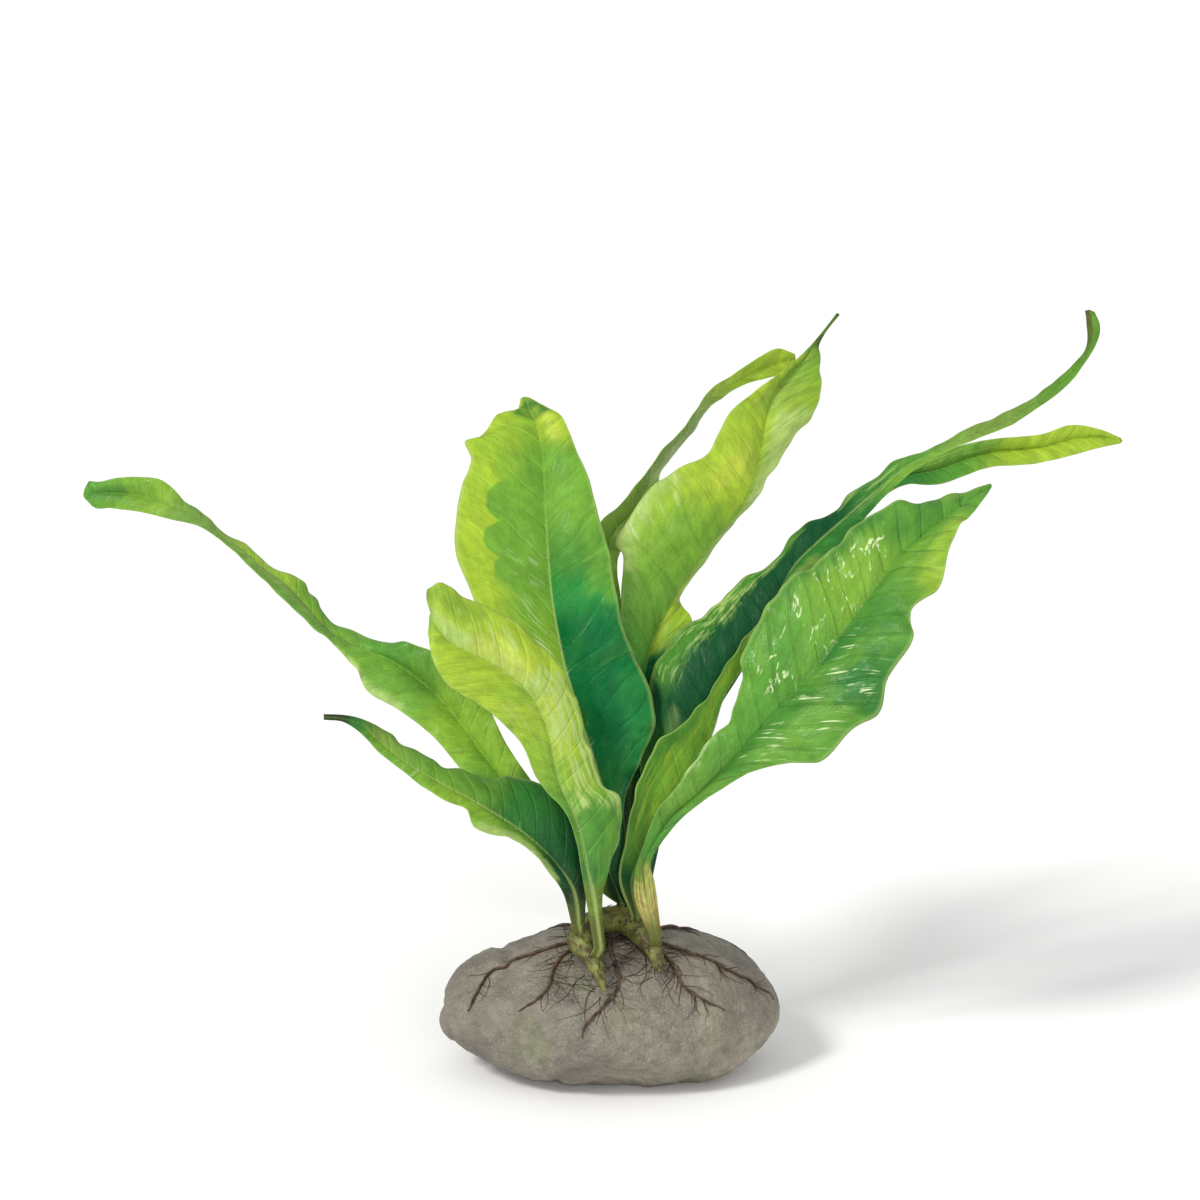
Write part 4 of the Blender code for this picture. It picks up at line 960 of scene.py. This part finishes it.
def build_stone():
    shape = bmesh.new()
    bmesh.ops.create_icosphere(shape, subdivisions=STONE_DETAIL, radius=1)
    directions = np.array([vertex.co.normalized()[:] for vertex in shape.verts])
    points = stone_points(directions)
    outward = directions / np.array(STONE_HALF)
    outward /= np.linalg.norm(outward, axis=1, keepdims=True)
    for vertex, point, out in zip(shape.verts, points, outward):
        made = point + out * stone_lift(Vector(point)) * MM
        made[2] = max(made[2], 0)
        vertex.co = made
    mesh = bpy.data.meshes.new("stone_skin")
    shape.to_mesh(mesh)
    shape.free()
    stone = add_piece("stone_skin", mesh, stone_material())
    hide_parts("stone")
    return stone


def surface_of(piece):
    corners = [vertex.co.copy() for vertex in piece.data.vertices]
    return BVHTree.FromPolygons(corners, [list(face.vertices) for face in piece.data.polygons])


# Rhizome

def rhizome_route(points, surface):
    """Centres and radii of the stem where it lies on the stone."""
    route = []
    for x, y, radius in smooth_route(points, RHIZOME_STEP, flat=True):
        start = Vector((x * MM, y * MM, ABOVE))
        spot, normal, _, _ = surface.ray_cast(start, Vector((0, 0, -1)))
        route.append((spot + normal * (radius * MM + GAP), radius * MM))
    return route


def rounded(route):
    """The route with rounded ends, for a growing tip and an old stump."""
    ends = []
    for (tip, radius), (inner, _) in ((route[0], route[1]), (route[-1], route[-2])):
        out = (tip - inner).normalized()
        ends.append([(tip + out * radius * reach, radius * size) for reach, size in STUMP])
    return ends[0][::-1] + route + ends[1]


def build_rhizome(stem):
    pile = MeshPile()
    for route in stem:
        full = rounded(route)
        centres = smooth_route([tuple(centre) for centre, _ in full], RHIZOME_FINE_STEP)
        radii = np.interp(np.linspace(0, 1, len(centres)), np.linspace(0, 1, len(full)),
                          [radius for _, radius in full])
        pile.tube(centres, radii, RHIZOME_SIDES)
    material = bark_material("green_rhizome")
    bark = add_mesh("rhizome_bark", pile.corners, pile.faces, material)
    merge = bark.modifiers.new("merge", "REMESH")
    merge.mode = "VOXEL"
    merge.voxel_size = RHIZOME_VOXEL
    merge.use_smooth_shade = True
    soften = bark.modifiers.new("soften", "SMOOTH")
    soften.factor = 0.5
    soften.iterations = 4
    bpy.context.view_layer.update()
    depsgraph = bpy.context.evaluated_depsgraph_get()
    merged = bpy.data.meshes.new_from_object(bark.evaluated_get(depsgraph), depsgraph=depsgraph)
    bark.modifiers.clear()
    bark.data = merged
    merged.materials.clear()
    merged.materials.append(material)
    lifted = []
    for vertex in merged.vertices:
        knots = noise.fractal(vertex.co * 320, 0.8, 2.0, 4)
        lifted.append(vertex.co + vertex.normal * (BARK_KNOTS * knots * MM))
    for vertex, spot in zip(merged.vertices, lifted):
        vertex.co = spot
    merged.shade_smooth()
    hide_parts("rhizome")
    return bark


def build_scales(bark, rings):
    """Small brown scales that lie along the rhizome."""
    pick = random.Random(11)
    pile = MeshPile()
    vertices = bark.data.vertices
    for _ in range(SCALES):
        vertex = vertices[pick.randrange(len(vertices))]
        if vertex.normal.z < SCALES_DOWN_TO:
            continue
        nearest = min(range(len(rings) - 1), key=lambda index: (rings[index][0] - vertex.co).length)
        ahead = (rings[nearest + 1][0] - rings[nearest][0]).normalized()
        if pick.random() < 0.5:
            ahead = -ahead
        ahead = (ahead + Vector((pick.uniform(-0.5, 0.5), pick.uniform(-0.5, 0.5), 0))).normalized()
        ahead = (ahead - vertex.normal * ahead.dot(vertex.normal)).normalized()
        length = pick.uniform(1.2, 2.6) * MM
        rise = pick.uniform(0.15, 0.45)
        wide = pick.uniform(0.22, 0.42) * MM
        path = []
        for share, _ in SCALE_SHAPE:
            lift = length * rise * share ** 1.6 - SCALE_SUNK
            path.append(vertex.co + ahead * length * share + vertex.normal * lift)
        pile.tube(path, [wide * size for _, size in SCALE_SHAPE], 6, 0.3, vertex.normal)
    scales = add_mesh("rhizome_scales", pile.corners, pile.faces, bark_material("brown_scales"))


def on_rhizome(spot, stem):
    """Centre, radius and direction of the stem closest to a plan position in mm."""
    plan = Vector((spot[0] * MM, spot[1] * MM))
    places = [(route, index) for route in stem for index in range(1, len(route) - 1)]
    route, nearest = min(places, key=lambda place: (place[0][place[1]][0].xy - plan).length)
    centre, radius = route[nearest]
    heading = (route[nearest + 1][0] - route[nearest - 1][0]).normalized()
    return centre, radius, heading


# Roots

def root_path(number, bearing, depth, surface, rings):
    """Points of one root from beside the rhizome outwards and down over the stone."""
    points = []
    for step in range(ROOT_STEPS + 1):
        share = step / ROOT_STEPS
        lean = math.radians(90) * depth * (ROOT_START + (1 - ROOT_START) * share)
        turn = math.radians(bearing) + ROOT_SWAY * math.sin(ROOT_BENDS * share + ROOT_SHIFT * number)
        heading = Vector((math.cos(turn) * math.sin(lean) * STONE_HALF[0],
                          math.sin(turn) * math.sin(lean) * STONE_HALF[1],
                          math.cos(lean) * STONE_HALF[2])).normalized()
        spot, normal, _, _ = surface.ray_cast(STONE_CENTRE, heading)
        centre = spot + normal * ROOT_RADIUS * 0.75
        if all((centre - ring).length > radius * 0.8 for ring, radius in rings):
            points.append(centre)
    return points


def build_roots(surface, rings):
    bark = bark_material("dark_root")
    paths = []
    for number, (bearing, depth) in enumerate(ROOTS, start=1):
        path = root_path(number, bearing, depth, surface, rings)
        paths.append(path)
        radii = []
        for index, spot in enumerate(path):
            share = index / (len(path) - 1)
            knobs = 1 + ROOT_KNOBS * noise.noise(spot * 900)
            radii.append(ROOT_RADIUS * (1 - ROOT_TAPER * share) * knobs * (1 if share < ROOT_TIP else 0.6))
        pile = MeshPile()
        pile.tube(path, radii, 10)
        root = add_mesh(f"root_{number}_bark", pile.corners, pile.faces, bark)
        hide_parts(f"root_{number}")
    return paths


def creep(start, heading, length, surface, pick):
    """A hair's path over the stone from start."""
    path = []
    spot = Vector(start)
    turn = 0
    for _ in range(max(int(length / HAIR_STEP), 4)):
        found, normal, _, _ = surface.find_nearest(spot)
        point = found + normal * (HAIR_RADIUS * 0.8)
        path.append(point)
        turn = turn * 0.7 + pick.uniform(-HAIR_TURN, HAIR_TURN)
        heading = (heading + heading.cross(normal) * turn).normalized()
        heading = (heading - normal * heading.dot(normal)).normalized()
        spot = point + heading * HAIR_STEP
    return path


def build_hairs(surface, rings, paths):
    """Fine root hairs that branch from the roots and the rhizome over the stone."""
    pick = random.Random(23)
    pile = MeshPile()
    for count in range(HAIRS):
        if count % 2:
            centre, radius = pick.choice(rings)
            out = Vector((pick.uniform(-1, 1), pick.uniform(-1, 1), 0)).normalized()
            start = centre + out * radius * 0.9 - Vector((0, 0, radius * 0.5))
            length = pick.uniform(6, 20) * MM
        else:
            path = pick.choice(paths)
            index = pick.randrange(0, int(len(path) * 0.85))
            start = path[index]
            ahead = (path[index + 1] - path[index]).normalized()
            side = ahead.cross(Vector((0, 0, 1))).normalized() * pick.choice((-1, 1))
            out = (ahead + side * pick.uniform(0.4, 1.6)).normalized()
            length = pick.uniform(4, 13) * MM
        points = [point for point in creep(start, out, length, surface, pick) if point.z > HAIR_LOWEST]
        if len(points) < 4:
            continue
        thick = HAIR_RADIUS * pick.uniform(0.6, 1.4)
        pile.tube(points, [thick * (1 - 0.75 * index / len(points)) for index in range(len(points))], 5)
    hairs = add_mesh("root_hairs", pile.corners, pile.faces, bark_material("root_hair"))


# Leaves

def foot_rows(foot, stem, first):
    """A row sunk in the rhizome and one where the stalk stands on it, set towards the leaf."""
    centre, radius, heading = on_rhizome(foot, stem)
    left, middle, right = first
    towards = (middle - centre).normalized()
    rise = (towards - heading * towards.dot(heading)).normalized()
    base = centre + rise * (radius + FOOT_GAP)
    slant = (middle - base).normalized().cross(rise).length
    base += rise * (STALK_THICKNESS / 2 * slant)
    across = right - left
    across -= rise * across.dot(rise)
    across = across.normalized() * (STALK_WIDTH / 2)
    sunk = base - rise * (FOOT_GAP + STALK_THICKNESS / 2 * slant + FOOT_SUNK)
    return [[spot - across, spot, spot + across] for spot in (sunk, base)]


def leaf_rails(foot, rows, stem):
    """Margins and midrib at stations along a leaf, their places on it, its first row and its length."""
    table = [[place(*point) for point in row] for row in rows]
    table = np.array([[tuple(point) for point in row] for row in foot_rows(foot, stem, table[0]) + table])
    sunk, table = table[0], table[1:]
    knots = row_knots(table[:, 1])
    length = knots[-1]
    places = np.linspace(0, length, int(length / STATION))
    rails = np.stack([sample_rail(table[:, side], knots, places) for side in range(3)], axis=1)
    share = np.linspace(0, 1, 4)[:-1, None, None]
    bury = np.linalg.norm(sunk[1] - table[0, 1])
    places = np.concatenate([np.linspace(-bury, 0, 4)[:-1], places])
    return np.concatenate([sunk * (1 - share) + table[0] * share, rails]), places, knots[1], length


def blade_grid(rails, span, puff):
    """Points of a blade's plain surface, the width of its half at each, and which way faces the eye."""
    left, middle, right = rails[:, 0], rails[:, 1], rails[:, 2]
    ahead = unit(np.gradient(middle, axis=0))
    share = np.abs(span)
    arch = puff * 4 * share * (1 - share)
    grid = np.empty((len(middle), len(span), 3))
    width = np.empty(grid.shape[:2])
    for margin, turn, picks in ((left, 1, span < 0), (right, -1, span >= 0)):
        side = margin - middle
        half = np.linalg.norm(side, axis=1)[:, None]
        normal = unit(np.cross(ahead, side)) * turn
        grid[:, picks] = (middle[:, None] + side[:, None] * share[picks, None]
                          + normal[:, None] * (half * arch[picks])[:, :, None])
        width[:, picks] = half
    return grid, width, np.cross(ahead, left - middle)


def blade_layers(look, seed, places, width, span, first, length):
    """Where each point lies on its leaf, as the values that the shader reads."""
    run = np.repeat(places[:, None], len(span), axis=1) / MM
    span = np.repeat(span[None, :], len(places), axis=0)
    reach = width * np.abs(span) / MM
    wobble = noise_grid(run / 15, np.where(span < 0, -3.1, 3.1), seed)
    vein = (run - VEIN_SLANT * reach) / look["pitch"] + VEIN_WOBBLE * wobble + seed * 3
    along = np.clip((run * MM - first) / (length - first), 0, 1)
    return dict(zip(LAYERS, (along, vein, reach, run, span)))


def blade_lift(look, seed, layers, width, length):
    """How far, in mm, the blade's waves, panels and creases stand off its plain surface."""
    vein, reach, run, span = (layers[layer] for layer in ("vein", "reach", "run", "span"))
    sign = np.where(span < 0, -1, 1)
    away = np.abs(span)
    lumps = noise_grid(run / 11, sign * reach / 9, seed * 2.7)
    creases = np.abs(noise_grid(run / 4.5, sign * reach / 4.5, seed * 4.1))
    groove = np.abs(vein - np.round(vein)) * 2
    panel = 1 - (1 - groove) ** 2.4
    body = np.clip(width / MM / 9, 0, 1) * ease(run, 12, 40)
    window = ease(away, 0.03, 0.28) * (1 - 0.45 * ease(away, 0.8, 1.0)) * body
    beat = np.sin(run * 2 * math.pi / LONG_WAVE + sign * 1.4 + seed)
    beat += 0.6 * np.sin(run * 2 * math.pi / SHORT_WAVE + seed * 2)
    lift = look["quilt"] * panel * window
    lift += look["ruffle"] * away ** 3 * beat * body
    lift += LUMPS * lumps * window
    lift += look["crumple"] * creases * window * ease(run * MM / length, 0.55, 0.8)
    return lift - RIB_GROOVE * np.exp(-(reach / 0.8) ** 2) * body


def blade_depths(layers):
    """How far, in metres, the blade's front and back lie from its middle surface."""
    along, reach, run, span = (layers[layer] for layer in ("along", "reach", "run", "span"))
    away = np.abs(span)
    stalk = 1 - ease(run, 6, STALK_LENGTH / MM + 8)
    oval = np.sqrt(1 - 0.9 * away ** 2)
    blade = BLADE_THICKNESS * (1 - 0.62 * away ** 6) * (1 - 0.45 * along)
    rib = RIB_HEIGHT * np.exp(-(reach / 0.85) ** 2) * (1 - along) ** 0.7 * (1 - stalk)
    front = blade / 2 + stalk * (STALK_THICKNESS - BLADE_THICKNESS) / 2 * oval
    thinner = TIP_THICKNESS + (1 - TIP_THICKNESS) * ease(run.max() - run, 0, TIP_LENGTH)
    return front * thinner, (front + rib) * thinner


def sheet_faces(stations, columns):
    """Faces of a closed sheet whose front points are listed row by row before its back ones."""
    back = stations * columns
    faces = []
    for i in range(stations - 1):
        first = i * columns
        for a in range(first, first + columns - 1):
            faces.append((a, a + 1, a + 1 + columns, a + columns))
            faces.append((back + a, back + a + columns, back + a + columns + 1, back + a + 1))
        faces.append((first, first + columns, back + first + columns, back + first))
        last = first + columns - 1
        faces.append((last, back + last, back + last + columns, last + columns))
    for j in range(columns - 1):
        faces.append((j, back + j, back + j + 1, j + 1))
        tip = (stations - 1) * columns + j
        faces.append((tip, tip + 1, back + tip + 1, back + tip))
    return faces


def build_leaf(name, seed, stem):
    foot, puff, rows = LEAVES[name]
    look = PLAIN_LOOK | LOOKS[name]
    span = np.linspace(-1, 1, 2 * look["columns"] + 1)
    rails, places, first, length = leaf_rails(foot, rows, stem)
    grid, width, facing = blade_grid(rails, span, puff)
    layers = blade_layers(look, seed, places, width, span, first, length)
    normals = unit(np.cross(np.gradient(grid, axis=0), np.gradient(grid, axis=1)))
    middle = len(places) // 2
    normals *= np.sign(np.sum(normals[middle] * facing[middle], axis=-1).mean())
    lift = blade_lift(look, seed, layers, width, length)
    grid = grid + normals * (lift * MM)[:, :, None]
    front, back = blade_depths(layers)
    corners = np.concatenate([grid + normals * front[:, :, None], grid - normals * back[:, :, None]])
    leaf = add_mesh(name.replace("leaf", "blade"), corners.reshape(-1, 3), sheet_faces(*width.shape),
                    leaf_material(name, look, seed))
    shape = bmesh.new()
    shape.from_mesh(leaf.data)
    bmesh.ops.recalc_face_normals(shape, faces=shape.faces[:])
    shape.to_mesh(leaf.data)
    shape.free()
    leaf.data.shade_smooth()
    for layer, values in layers.items():
        add_values(leaf, layer, np.concatenate([values, values]))
    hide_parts(name)


# Stage

def build_stage():
    bpy.ops.mesh.primitive_plane_add(size=60, location=(0, 0, 0))
    floor = bpy.context.object
    floor.name = "floor"
    floor.data.materials.append(Nodes("white_paper").finish(PAPER, 0.9))


def build_light():
    world = bpy.data.worlds.new("soft_studio")
    bpy.context.scene.world = world
    world.use_nodes = True
    sky = world.node_tree.nodes["Background"]
    sky.inputs["Color"].default_value = (1, 1, 1, 1)
    sky.inputs["Strength"].default_value = SKY_POWER
    for name, (towards, spread, power, colour) in LAMPS.items():
        lamp = bpy.data.lights.new(name, "SUN")
        lamp.angle = math.radians(spread)
        lamp.energy = power
        lamp.color = colour
        holder = bpy.data.objects.new(name, lamp)
        bpy.context.scene.collection.objects.link(holder)
        holder.rotation_euler = Vector(towards).to_track_quat("Z", "Y").to_euler()


def build_camera():
    lens = bpy.data.cameras.new("camera")
    lens.lens = LENS
    lens.sensor_width = SENSOR
    camera = bpy.data.objects.new("camera", lens)
    bpy.context.scene.collection.objects.link(camera)
    ahead = Vector((0, math.cos(EYE_ANGLE), -math.sin(EYE_ANGLE)))
    camera.location = place(EYE_ACROSS, EYE_UP, 0) - ahead * EYE_DISTANCE * MM
    camera.rotation_euler = (math.radians(90) - EYE_ANGLE, 0, 0)
    bpy.context.scene.camera = camera


build_camera()
build_stage()
build_light()
cad_surface = surface_of(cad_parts["stone"])
stem_routes = [rhizome_route(points, cad_surface) for points in (RHIZOME_MAIN, RHIZOME_BRANCH)]
stem_rings = stem_routes[0] + stem_routes[1]
stone_surface = surface_of(build_stone())
build_scales(build_rhizome(stem_routes), stem_rings)
root_paths = build_roots(stone_surface, stem_rings)
build_hairs(stone_surface, stem_rings, root_paths)
for leaf_number, leaf_name in enumerate(LEAVES, start=1):
    build_leaf(leaf_name, leaf_number, stem_routes)
bpy.context.scene.view_settings.view_transform = "Standard"
